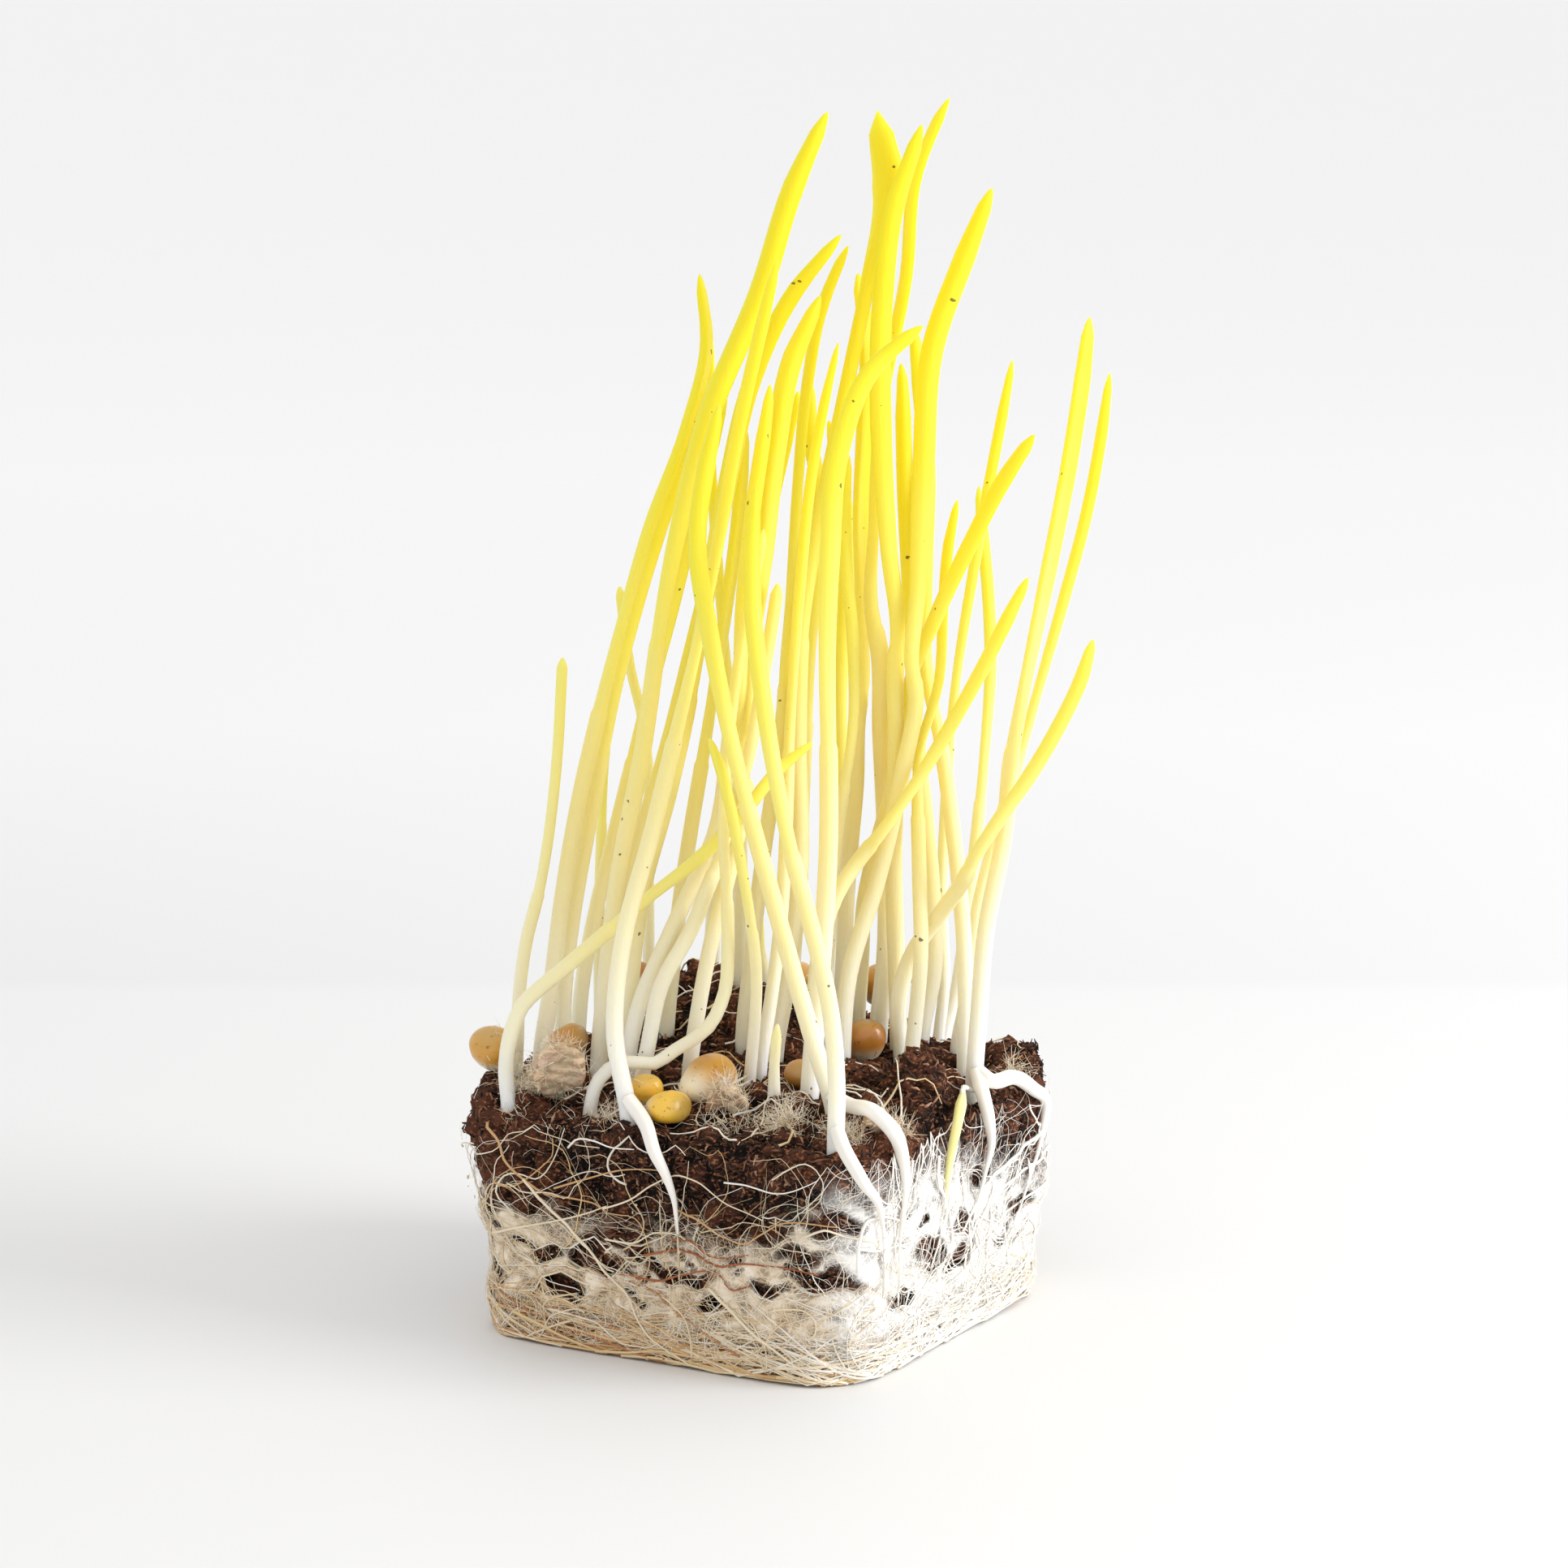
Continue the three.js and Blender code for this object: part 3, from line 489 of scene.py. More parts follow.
def even_mesh(node, voxel):
    carrier = bpy.data.objects.new("carrier", mesh_of(merged_copy(node), "carrier"))
    remesh = carrier.modifiers.new("even", "REMESH")
    remesh.mode = "VOXEL"
    remesh.voxel_size = voxel
    return made_mesh(carrier)


def raise_surface(mesh, height):
    """Moves every corner along its normal by height(place), in metres."""
    places = read_vectors(mesh.vertices, "co")
    normals = read_vectors(mesh.vertex_normals, "vector")
    heights = np.array([height(Vector(place)) for place in places], np.float32)
    mesh.vertices.foreach_set("co", (places + normals * heights[:, None]).ravel())
    mesh.update()
    return heights


SOIL_VOXEL = 0.62 * MM
LUMP_SIZE = 9 * MM
LUMP_HEIGHT = 1.0 * MM
CRUMB_SIZE = 3.2 * MM
CRUMB_HEIGHT = 2.1 * MM
CRUMB_MIDDLE = 0.45
GRIT_SIZE = 1.1 * MM
GRIT_HEIGHT = 0.65 * MM


def soil_relief(place):
    nearest = noise.voronoi(place / CRUMB_SIZE)[0][0]
    grit = noise.fractal(place / GRIT_SIZE, 0.8, 2.0, 3)
    lump = noise.noise(place / LUMP_SIZE)
    return LUMP_HEIGHT * lump + CRUMB_HEIGHT * (CRUMB_MIDDLE - nearest) + GRIT_HEIGHT * grit


soil_mesh = even_mesh("soil_plug", SOIL_VOXEL)
soil_heights = raise_surface(soil_mesh, soil_relief)
# "high" is the relief's height, which the finish turns into painted shade in the hollows.
write_attribute(soil_mesh, "high", 0.5 + 0.5 * soil_heights / CRUMB_HEIGHT)
print("soil faces:", len(soil_mesh.polygons))

# %% [markdown]
# The soil goes from warm brown on its crumbs to nearly black in its hollows, as painted shade, by the
# attribute "high". A noise at the size of chips adds lighter specks and bumps the surface.

# %% Soil finish
def soil_finish():
    f = Finish("peat", Specular_IOR_Level=0.2)
    high = f.attribute("high")
    chips = f.cloud(1500.0, 4.0, f.place(scale=(1, 1, 1.6)))
    # Painted shade: low places in "high" go nearly black. The chip noise adds tone that differs at random.
    dark = f.mix(f.between(high + (chips - 0.5) * 0.6, 0.25, 0.75), (11, 6, 4), (94, 55, 37))
    colour = f.mix(f.between(chips, 0.54, 0.68), dark, (152, 99, 68))
    return f.links(
        Base_Color=colour,
        Roughness=0.98 - 0.25 * chips,
        Normal=f.bump(chips, 0.8, 0.0006),
    )


place_piece("fine_soil", soil_mesh, soil_finish(), ["soil_plug"])

# %% [markdown]
# ## The felt at the base
# On the pot's floor the roots matted into a straw-coloured felt. Its body is the remeshed node with a low
# fibrous relief, and single roots are laid on it further on. Its darker straw is partly painted shade for
# the gaps between those roots.

# %% Root felt
FELT_VOXEL = 0.56 * MM
FELT_RELIEF = 0.28 * MM
FELT_RIM = (6 * MM, 10 * MM)
FELT_SLIM = 0.2 * MM
FELT_STREAKS = (260, 260, 1300)
LIT_RIGHT_FADE = (24 * MM, 30 * MM)


def felt_relief(place):
    streaky = place * Vector(FELT_STREAKS)
    wall = 1 - eased(place.z, *FELT_RIM)
    return FELT_RELIEF * wall * noise.fractal(streaky, 0.9, 2.0, 3) - FELT_SLIM * (1 - wall)


def felt_finish():
    f = Finish("root_felt", Specular_IOR_Level=0.25)
    fibres = f.cloud(420.0, 5.0, f.place(scale=(1, 1, 7)))
    patches = f.cloud(90.0, 2.0)
    # Painted shade: the darker straw is partly the felt's own colour and partly shade between the laid
    # roots.
    straw = f.mix(fibres, (126, 92, 56), (206, 174, 128))
    stained = f.mix(f.between(patches, 0.6, 0.78) * 0.5, straw, (172, 132, 88))
    coloured = f.mix(f.between(f.along("Z"), *FELT_RIM), stained, (230, 210, 176))
    # Whiter towards the right face: partly paler roots, partly painted light from the lamp on the right.
    return f.links(
        Base_Color=f.mix(f.between(f.along("X"), *LIT_RIGHT_FADE), coloured, (250, 246, 236)),
        Roughness=0.9 - 0.2 * fibres,
        Normal=f.bump(fibres, 0.7, 0.0005),
    )


felt_mesh = even_mesh("root_mat", FELT_VOXEL)
raise_surface(felt_mesh, felt_relief)
place_piece("root_felt", felt_mesh, felt_finish(), ["root_mat"])

# %% [markdown]
# ## A map of the plug's sides
# Roots lie on the plug, so rays cast inwards give a table of how far out its surface is. A root is
# stiff and bridges small hollows, so the table is widened to the highest point nearby and smoothed.

# %% Reach of the sides
TURNS = 720
LEVELS = 110
LOOK_TOP = 35 * MM
LOOK_FROM = 90 * MM
SIDE_LEAST = 26 * MM
BRIDGED_TURNS, BRIDGED_LEVELS = range(-2, 3), range(-8, 9, 2)
SMOOTHED = range(-3, 4)


def reach_table():
    bodies = [BVHTree.FromObject(bpy.data.objects[name], bpy.context.evaluated_depsgraph_get())
              for name in ("fine_soil", "root_felt")]
    table = np.zeros((TURNS, LEVELS))
    for i in range(TURNS):
        out = Vector((math.cos(2 * math.pi * i / TURNS), math.sin(2 * math.pi * i / TURNS), 0))
        for j in range(LEVELS):
            start = out * LOOK_FROM + UP * (LOOK_TOP * (j + 0.5) / LEVELS)
            met = bodies if start.z < FELT_RIM[1] else bodies[:1]
            hits = [body.ray_cast(start, -out)[3] for body in met]
            table[i, j] = LOOK_FROM - min(hit if hit is not None else LOOK_FROM for hit in hits)
    for j in range(1, LEVELS):
        over_edge = table[:, j] < SIDE_LEAST
        table[over_edge, j] = table[over_edge, j - 1]
    return table


def beside(table, turn_shift, level_shift):
    moved = np.roll(table, turn_shift, axis=0)
    levels = np.clip(np.arange(LEVELS) + level_shift, 0, LEVELS - 1)
    return moved[:, levels]


def bridged(table):
    around = [beside(table, i, j) for i in BRIDGED_TURNS for j in BRIDGED_LEVELS]
    highest = np.max(around, axis=0)
    return np.mean([beside(highest, i, j) for i in SMOOTHED for j in SMOOTHED], axis=0)


side_reach = bridged(reach_table())
print("reach of the sides, mm:", side_reach.min() / MM, "to", side_reach.max() / MM)

# %% [markdown]
# ## Which side
# The roots of the right face are drawn nearly white, partly their own paler colour and partly painted
# light from the lamp on the right, and the others are straw to tan. `right_share` tells the two apart,
# and eases from one to the other round the corners.

# %% Which side
FRONT_CORNER = -math.pi / 4
LEFT_CORNER = -3 * math.pi / 4
RIGHT_FACE = 0.0
RIGHT_EASES = (0.7, 1.0)


def apart(turn, other):
    return np.abs((turn - other + math.pi) % (2 * math.pi) - math.pi)


def right_share(turn):
    return 1 - eased(apart(turn, RIGHT_FACE), *RIGHT_EASES)


print("at the front corner the right face's share is", right_share(np.array(FRONT_CORNER)))

# %% [markdown]
# ## Holes in the web
# The web leaves dark gaps where the soil shows. `openness` says how far inside a gap a place lies, and
# `round_holes` moves a root that would cross a gap to its rim. A steep root would have to jump, so
# `unbroken` finds those and they are left out.

# %% Holes
HOLE_COUNT = 250
HOLE_HEIGHTS = (8.5, 27)
HOLE_LEAST, HOLE_MORE = 0.6, 2.5
HOLE_SKEW = 1.7
HOLE_WIDE, HOLE_HIGH = 1.5, 0.75
HOLE_EASES = (0.55, 1.35)
HOLE_SLACK = 0.06
FEWER_ON_RIGHT = 0.65
TURN_WAVE, TURN_WAVELENGTH = 0.03, 1.3 * MM
HEIGHT_WAVE, HEIGHT_WAVES = 0.6 * MM, 41
SHORTEST_STEP = 0.05 * MM
SIDE_REACH = 34 * MM


def draw_holes():
    draw = np.random.default_rng(13)
    turn = draw.uniform(0, 2 * math.pi, HOLE_COUNT)
    height = draw.uniform(*HOLE_HEIGHTS, HOLE_COUNT) * MM
    size = (HOLE_LEAST + HOLE_MORE * draw.random(HOLE_COUNT) ** HOLE_SKEW) * MM
    kept = draw.random(HOLE_COUNT) > FEWER_ON_RIGHT * right_share(turn)
    return np.column_stack([turn, height, size])[kept]


holes = draw_holes()


def wobbled(turn, height):
    """Places shifted in waves, so that no hole is a plain oval."""
    waved_turn = turn + TURN_WAVE * np.sin(height / TURN_WAVELENGTH)
    return waved_turn, height + HEIGHT_WAVE * np.sin(turn * HEIGHT_WAVES)


def openness(turn, height):
    """How near a place is to the middle of a hole: 0 well outside, 1 inside."""
    turn, height = wobbled(turn, height)
    across = apart(turn[:, None], holes[None, :, 0]) * SIDE_REACH / (holes[:, 2] * HOLE_WIDE)
    up = (height[:, None] - holes[None, :, 1]) / (holes[:, 2] * HOLE_HIGH)
    return 1 - eased(np.sqrt(across**2 + up**2).min(axis=1), *HOLE_EASES)


def round_holes(turn, height, start):
    """Heights of roots, given the height that each started at."""
    waved_turn, waved = wobbled(turn, height)
    shift = waved - height
    for hole_turn, hole_height, size in holes:
        across = apart(waved_turn, hole_turn) * SIDE_REACH / (size * HOLE_WIDE)
        rim = size * HOLE_HIGH * np.sqrt(np.clip(1 - across**2, 0, 1))
        up = waved - hole_height
        aside = hole_height + np.copysign(rim, start - hole_height) + HOLE_SLACK * up
        waved = np.where(np.abs(up) < rim, aside, waved)
    return waved - shift


def unbroken(paths, longest):
    """Which roots neither jump over a hole nor stand still at its rim."""
    steps = np.linalg.norm(np.diff(paths, axis=1), axis=2)
    return (steps.max(axis=1) < longest) & (steps.min(axis=1) > SHORTEST_STEP)


print("holes:", len(holes))

# %% [markdown]
# ## Roots as walks over the sides
# A root takes short strides, and its heading drifts, so it runs in easy curves. All roots of one kind
# walk together as arrays. A stride turns less far round the plug near a corner, hence the cosine.

# %% Walking roots
DRIFT_KEPT = 0.6
SHORT_OF_END = 1.001


def between_cells(table, row, column):
    """Values between a table's cells; the last row joins the first."""
    column = np.clip(column, 0, table.shape[1] - SHORT_OF_END)
    i, j = np.floor(row).astype(int), np.floor(column).astype(int)
    s, t = row - i, column - j
    below, above = i % len(table), (i + 1) % len(table)
    near = table[below, j] * (1 - t) + table[below, j + 1] * t
    far = table[above, j] * (1 - t) + table[above, j + 1] * t
    return near * (1 - s) + far * s


def reach_at(turn, height):
    across = (turn / (2 * math.pi) * TURNS) % TURNS
    return between_cells(side_reach, across, height / LOOK_TOP * LEVELS - 0.5)


def face_angle(turn):
    quarter = math.pi / 2
    return (turn + quarter / 2) % quarter - quarter / 2


def walk(draw, turn, height, heading, lift, steps, stride, wander, low, high, crossing=0.0):
    """Places of every step of every root: strand, step, and X Y Z. A share of them cross holes."""
    trail = []
    start = height
    crosses = draw.random(len(turn)) < crossing
    drift = np.zeros(len(turn))
    for _ in range(steps):
        shown = np.where(crosses, height, round_holes(turn, height, start))
        reach = reach_at(turn, shown) + lift
        trail.append(np.stack([reach * np.cos(turn), reach * np.sin(turn), shown], axis=1))
        drift = DRIFT_KEPT * drift + draw.normal(0, wander, len(turn))
        heading = heading + drift
        rise = stride * np.sin(heading)
        leaving = (height + rise < low) | (height + rise > high)
        heading = np.where(leaving, -heading, heading)
        turn = turn + stride * np.cos(heading) * np.cos(face_angle(turn)) / reach
        height = height + np.where(leaving, -rise, rise)
    return np.stack(trail, axis=1)


def either_way(draw, count):
    return np.where(draw.random(count) < 0.5, 0, math.pi)


print("strides follow the sides")

# %% [markdown]
# Each kind of root is one curve object with a spline for every root. The bevel gives the thickness,
# the radius of each point makes it taper, and the mesh that comes out has a "tint" for each root.

# %% Strands from splines
def strand_mesh(name, paths, radii, tints, roundness=0):
    curve = bpy.data.curves.new(name, "CURVE")
    curve.dimensions = "3D"
    curve.bevel_depth = 1.0
    curve.bevel_resolution = roundness
    for path, radius in zip(paths, radii):
        spline = curve.splines.new("POLY")
        spline.points.add(len(path) - 1)
        spline.points.foreach_set("co", np.column_stack([path, np.ones(len(path))]).ravel())
        spline.points.foreach_set("radius", np.asarray(radius, np.float32))
    mesh = made_mesh(bpy.data.objects.new(name, curve))
    points = [len(path) for path in paths]
    sides = len(mesh.vertices) // sum(points)
    write_attribute(mesh, "tint", np.repeat(tints, [count * sides for count in points]))
    shape = bmesh.new()
    shape.from_mesh(mesh)
    ends = [edge for edge in shape.edges if edge.is_boundary]
    bmesh.ops.holes_fill(shape, edges=ends, sides=sides)
    return mesh_of(shape, name)


def taper(thick, steps, thin):
    """Radii of each root, from its thick start to a thin share of that at its end."""
    share = np.linspace(0, 1, steps)
    return thick[:, None] * (1 - share * (1 - thin))


def root_finish():
    f = Finish("root_strand", Specular_IOR_Level=0.3)
    tint = f.attribute("tint")
    spots = f.cloud(500.0, 3.0)
    colour = f.ramp(tint + (spots - 0.5) * 0.12, [
        (0.00, 253, 251, 247),
        (0.30, 244, 231, 206),
        (0.55, 227, 198, 148),
        (0.75, 201, 155, 108),
        (1.00, 158, 84, 46),
    ])
    return f.links(Base_Color=colour, Roughness=0.8 - 0.2 * spots)


def whole_strands(name, paths, thick, thin, tints, longest):
    """Tapered strands, without the roots that a hole breaks."""
    whole = unbroken(paths, longest)
    radii = taper(thick, paths.shape[1], thin)
    return strand_mesh(name, paths[whole], radii[whole], tints[whole])


root_skin = root_finish()
print("finish:", root_skin.name)

# %% [markdown]
# ## Laid roots
# On the felt the roots run round the plug almost level, like raffia, up to half a millimetre thick.
# Higher up they are fewer, thinner and paler, so the felt has no hard upper edge.

# %% Laid roots
LAID_COUNT = 680
LAID_FROM, LAID_TOP = 0.35 * MM, 11 * MM
LAID_SKEW = 1.5
LAID_LEVEL = 0.12


def laid_roots():
    draw = np.random.default_rng(21)
    turn = draw.uniform(0, 2 * math.pi, LAID_COUNT)
    share = draw.random(LAID_COUNT) ** LAID_SKEW
    height = LAID_FROM + LAID_TOP * share
    heading = draw.normal(0, LAID_LEVEL, LAID_COUNT) * (1 + 2 * share)
    heading = heading + either_way(draw, LAID_COUNT)
    lift = draw.uniform(-0.1, 0.45, LAID_COUNT) * MM
    paths = walk(draw, turn, height, heading, lift, steps=14, stride=2.2 * MM, wander=0.035,
                 low=0.3 * MM, high=17 * MM)
    thick = draw.uniform(0.1, 0.3, LAID_COUNT) * (1 - 0.5 * share) * MM
    tints = np.clip(draw.normal(0.59, 0.18, LAID_COUNT) - 0.2 * share, 0.1, 0.9)
    # Paler towards the right face: partly the roots' own colour, partly painted light from the lamp on the
    # right.
    tints = tints * (1 - 0.8 * right_share(turn))
    return whole_strands("laid_roots", paths, thick, thin=0.5, tints=tints, longest=4.5 * MM)


place_piece("laid_roots", laid_roots(), root_skin)

# %% [markdown]
# ## The web
# Above the felt the roots spread into a web, dense low down and thinning upwards. It climbs higher on
# the right face and at two corners, each given by its turn, width and rise. `cover` says how likely a
# root is at a place.

# %% Web of roots
WEB_TRIES = 1700
WEB_HEIGHTS = (4, 31)
WEB_TOP = 20.5 * MM
WEB_RISES = [
    (RIGHT_FACE - 0.25, 0.65, 9.5 * MM),
    (FRONT_CORNER, 0.2, 5 * MM),
    (LEFT_CORNER, 0.25, 6 * MM),
]
WEB_FADE = 9 * MM
COVER_AT_TOP, COVER_LEAST = 0.35, 0.12


def cover(turn, height):
    top = WEB_TOP
    for where, wide, rise in WEB_RISES:
        top = top + rise * np.exp(-(apart(turn, where) / wide) ** 2)
    return np.clip((top - height) / WEB_FADE + COVER_AT_TOP, COVER_LEAST, 1)


def scattered(draw, tries, heights, likely):
    """Turns and heights of the roots that a draw against their likelihood keeps."""
    turn = draw.uniform(0, 2 * math.pi, tries)
    height = draw.uniform(*heights, tries) * MM
    kept = draw.random(tries) < likely(turn, height)
    return turn[kept], height[kept]


def web_roots():
    draw = np.random.default_rng(34)
    turn, height = scattered(draw, WEB_TRIES, WEB_HEIGHTS, cover)
    count = len(turn)
    steep = 0.4 + 0.6 * right_share(turn)
    heading = draw.normal(0, 1, count) * steep + either_way(draw, count)
    lift = draw.uniform(0.0, 0.6, count) * MM
    paths = walk(draw, turn, height, heading, lift, steps=22, stride=1.0 * MM, wander=0.17,
                 low=1 * MM, high=33 * MM, crossing=0.4)
    thick = 0.04 * MM + 0.15 * MM * draw.random(count) ** 3
    # Paler towards the right face: partly the roots' own colour, partly painted light from the lamp on the
    # right.
    tints = np.clip(draw.normal(0.34, 0.13, count), 0.02, 0.7) * (1 - 0.85 * right_share(turn))
    return whole_strands("root_web", paths, thick, thin=0.4, tints=tints, longest=2.2 * MM)


place_piece("root_web", web_roots(), root_skin)

# %% [markdown]
# Between the web's roots hangs a veil, root hair so fine that only its haze is seen. It is a thin skin
# just off the soil, clear where its alpha is low and over the holes. Its corners carry a place on the
# unrolled sides, in millimetres, and how closed the veil is there.

# %% Veil
VEIL_TURNS = 420
VEIL_LEVELS = 52
VEIL_FROM, VEIL_TO = 3.5 * MM, 32.5 * MM
VEIL_FULL = 2.5 * VEIL_FROM
VEIL_SEAM = 3 * math.pi / 4
VEIL_LIFT = 0.25 * MM
VEIL_SKEW = 1.2
HOLE_CLEARED = 0.95
UNROLLED_REACH = 36


def veil_mesh():
    turn = VEIL_SEAM + np.linspace(0, 2 * math.pi, VEIL_TURNS)
    height = np.linspace(VEIL_FROM, VEIL_TO, VEIL_LEVELS)
    turn, height = [side.ravel() for side in np.meshgrid(turn, height)]
    reach = reach_at(turn, height) + VEIL_LIFT
    shape = bmesh.new()
    bmesh.ops.create_grid(shape, x_segments=VEIL_TURNS - 1, y_segments=VEIL_LEVELS - 1, size=1)
    shape.verts.index_update()
    corners = sorted(shape.verts, key=lambda v: (round(v.co.y, 5), v.co.x))
    order = np.argsort([v.index for v in corners])
    places = np.column_stack([reach * np.cos(turn), reach * np.sin(turn), height])
    for corner, place in zip(corners, places):
        corner.co = place
    mesh = mesh_of(shape, "root_veil")
    rising = eased(height, VEIL_FROM, VEIL_FULL)
    shut = 1 - HOLE_CLEARED * openness(turn, height)
    write_attribute(mesh, "closed", (rising * cover(turn, height) ** VEIL_SKEW * shut)[order])
    unrolled = np.column_stack([turn * UNROLLED_REACH, height / MM, np.zeros(len(turn))])
    write_attribute(mesh, "unrolled", unrolled[order])
    return mesh


def veil_finish():
    f = Finish("root_veil", Specular_IOR_Level=0.1)
    at = f.attribute("unrolled", "Vector")
    bent = f.swirled(at, 0.3, 4.0)
    threads = 1 - f.between(f.cells(bent, 0.45), 0.0, 0.06)
    fine = 1 - f.between(f.cells(f.swirled(at, 0.6, 2.5), 1.3), 0.0, 0.14)
    haze = f.between(f.cloud(0.3, 3.0, bent), 0.3, 0.7)
    closed = f.attribute("closed")
    shown = closed * (haze * 0.65 + threads * 0.4 + fine * 0.25 + closed * 0.35)
    left = f.mix(haze, (230, 206, 172), (246, 234, 216))
    # Whiter towards the right face: partly paler root hair, partly painted light from the lamp on the right.
    colour = f.mix(f.between(f.along("X"), *LIT_RIGHT_FADE), left, (252, 250, 247))
    return f.links(Base_Color=colour, Roughness=0.95 - 0.1 * haze, Alpha=f.between(shown, 0.02, 1.0))


place_piece("root_veil", veil_mesh(), veil_finish())

# %% [markdown]
# The coarser hairs are real strands: short walks with strong wander, mostly outside the holes.

# %% Root hairs
HAIR_TRIES = 4700
HAIR_HEIGHTS = (2.5, 29)


def hairy(turn, height):
    return cover(turn, height) ** VEIL_SKEW * (1 - openness(turn, height))


def root_hairs(name, seed):
    draw = np.random.default_rng(seed)
    turn, height = scattered(draw, HAIR_TRIES, HAIR_HEIGHTS, hairy)
    count = len(turn)
    heading = draw.uniform(-math.pi, math.pi, count)
    lift = draw.uniform(0.0, 0.9, count) * MM
    paths = walk(draw, turn, height, heading, lift, steps=6, stride=0.75 * MM, wander=0.4,
                 low=1 * MM, high=33 * MM, crossing=0.3)
    thick = draw.uniform(0.02, 0.046, count) * MM
    # Paler towards the right face: partly the hairs' own colour, partly painted light from the lamp on the
    # right.
    tints = np.clip(draw.normal(0.24, 0.1, count), 0.0, 0.5) * (1 - 0.8 * right_share(turn))
    return whole_strands(name, paths, thick, thin=0.4, tints=tints, longest=1.5 * MM)


for name, seed in (("root_hairs_1", 55), ("root_hairs_2", 56)):
    place_piece(name, root_hairs(name, seed), root_skin)

# %% [markdown]
# ## Roots placed one by one
# Some roots are told apart at a glance. Each has its thickness, its tint and a short list of places,
# as across and high on its face. A smooth line passes through them, just outside the plug.

# %% Roots on the faces
WHITE, CREAM, STRAW, TAN, RUST = 0.06, 0.33, 0.55, 0.70, 0.97
FOOT_HALF = 30.5
FACE_SLOPE = 2.5 / 32
FACE_STEP = 0.9 * MM
SHOULDER = 32 * MM
WEB_DEPTH = 0.4 * MM

LEFT, RIGHT = (-1, 1), (1, 0)
LEFT_ROOTS = [
    (0.24, CREAM, [(-33, 24.6), (-30, 21.4), (-26, 17.5), (-21, 12), (-18.5, 8.4), (-16, 4.4), (-10, 0.7)]),
    (0.25, CREAM, [(-7.5, 12.5), (-5.4, 10.7), (-2.7, 8.2), (0, 6.1), (3, 4), (5.6, 2.3)]),
    (0.20, RUST, [(-16.6, 15.8), (-11.3, 17.4), (-8.5, 17.1), (-6, 16.1), (-3.3, 16.9), (1, 17.2),
                  (7.6, 16.9)]),
    (0.19, RUST, [(-19.5, 12.7), (-14.5, 12.4), (-11.7, 13.6), (-5.8, 14.7), (-4.4, 13), (-1.6, 13.9)]),
    (0.16, RUST, [(-13, 18.6), (-9.5, 19), (-7.5, 17.6), (-5.5, 17.4), (-2, 18.4)]),
    (0.16, TAN, [(-29, 23.8), (-24.3, 26), (-20, 27.8), (-16.5, 28.5), (-14, 28.7)]),
    (0.15, CREAM, [(-22, 21.9), (-18.7, 23.6), (-15.5, 26.3), (-11.3, 28.4), (-8.8, 27.7), (-5.7, 25.6),
                   (0, 23.7)]),
    (0.17, TAN, [(-12, 23.2), (-8.5, 22.3), (-5.7, 20.5), (-2.3, 20), (-0.6, 21.4), (1.8, 23.2),
                 (10.3, 24.3)]),
    (0.22, TAN, [(-39, 32), (-37, 30), (-35.4, 26.8), (-33, 24.6), (-29.7, 22.9), (-26, 22.7), (-22, 21.9)]),
    (0.16, WHITE, [(-27.4, 30), (-26.2, 31.4), (-23.9, 31.6), (-21.4, 31), (-18, 31.2)]),
    (0.20, CREAM, [(-38.5, 15.5), (-33, 17.5), (-29, 18.9), (-24.7, 20.7), (-21.5, 22.4)]),
    (0.26, STRAW, [(-35, 4.4), (-31, 3.2), (-26, 1.4), (-22, 0.4)]),
    (0.22, STRAW, [(-23, 0.5), (-18.8, 1), (-14.6, 2), (-8.6, 2)]),
    (0.15, CREAM, [(-21.5, 17.6), (-18, 17.4), (-15.2, 19.3), (-11, 19.3), (-8, 17.6)]),
    (0.14, WHITE, [(-5.4, 28.3), (-2, 28.4), (2.2, 28), (5.6, 29.6), (7.6, 30.7)]),
    (0.15, TAN, [(-37, 23.6), (-34.7, 23.2), (-32.2, 25.1), (-29.6, 28.8), (-29.6, 31)]),
]
# All roots of the right face are WHITE: partly their own colour, partly painted light from the lamp on the
# right.
RIGHT_ROOTS = [
    (0.32, WHITE, [(40.6, 27.8), (38, 24.9), (35, 23.3), (32.2, 21.5), (29.2, 19.2), (27, 16.5)]),
    (0.26, WHITE, [(41.5, 22.3), (38, 21), (35, 20.2), (31.5, 18), (29.3, 15.4)]),
    (0.26, WHITE, [(24.3, 29.3), (24, 25.7), (25, 21.3), (24, 17), (22.7, 13.2)]),
    (0.22, WHITE, [(20, 31), (19.6, 28), (19, 24.5), (18.3, 20), (18.6, 14)]),
    (0.24, WHITE, [(27, 29.5), (25.8, 24.8), (25.5, 20.4), (26, 15.6), (25.2, 10.6)]),
    (0.20, WHITE, [(40.8, 17.2), (37, 16.1), (33, 14.9), (29.3, 12.3), (26.4, 9.2)]),
    (0.20, WHITE, [(13, 21), (14.5, 20), (16, 19.3), (19, 18.5), (22.6, 18.9)]),
    (0.26, WHITE, [(13, 17.5), (13.2, 21.5), (14, 24), (15.8, 24.3), (19.3, 22)]),
]


def on_face(face, across, height, clear=0.0):
    """A place on a face, which is told by its sign and its axis."""
    sign, axis = face
    half = FOOT_HALF + FACE_SLOPE * height + clear
    return seen(across, (sign * half - across * ACROSS[axis]) / AWAY[axis], height)


def kept_outside(points, lift):
    turn = np.arctan2(points[:, 1], points[:, 0])
    out = np.hypot(points[:, 0], points[:, 1])
    least = reach_at(turn, points[:, 2]) + lift
    out = np.where(points[:, 2] < SHOULDER, np.maximum(out, least), out)
    return np.column_stack([out * np.cos(turn), out * np.sin(turn), points[:, 2]])


def drawn_root(places):
    points = np.array(places)
    lengths = lengths_along(points)
    at = np.linspace(0, lengths[-1], int(lengths[-1] / FACE_STEP) + 2)
    return smooth_line(points, lengths, at)


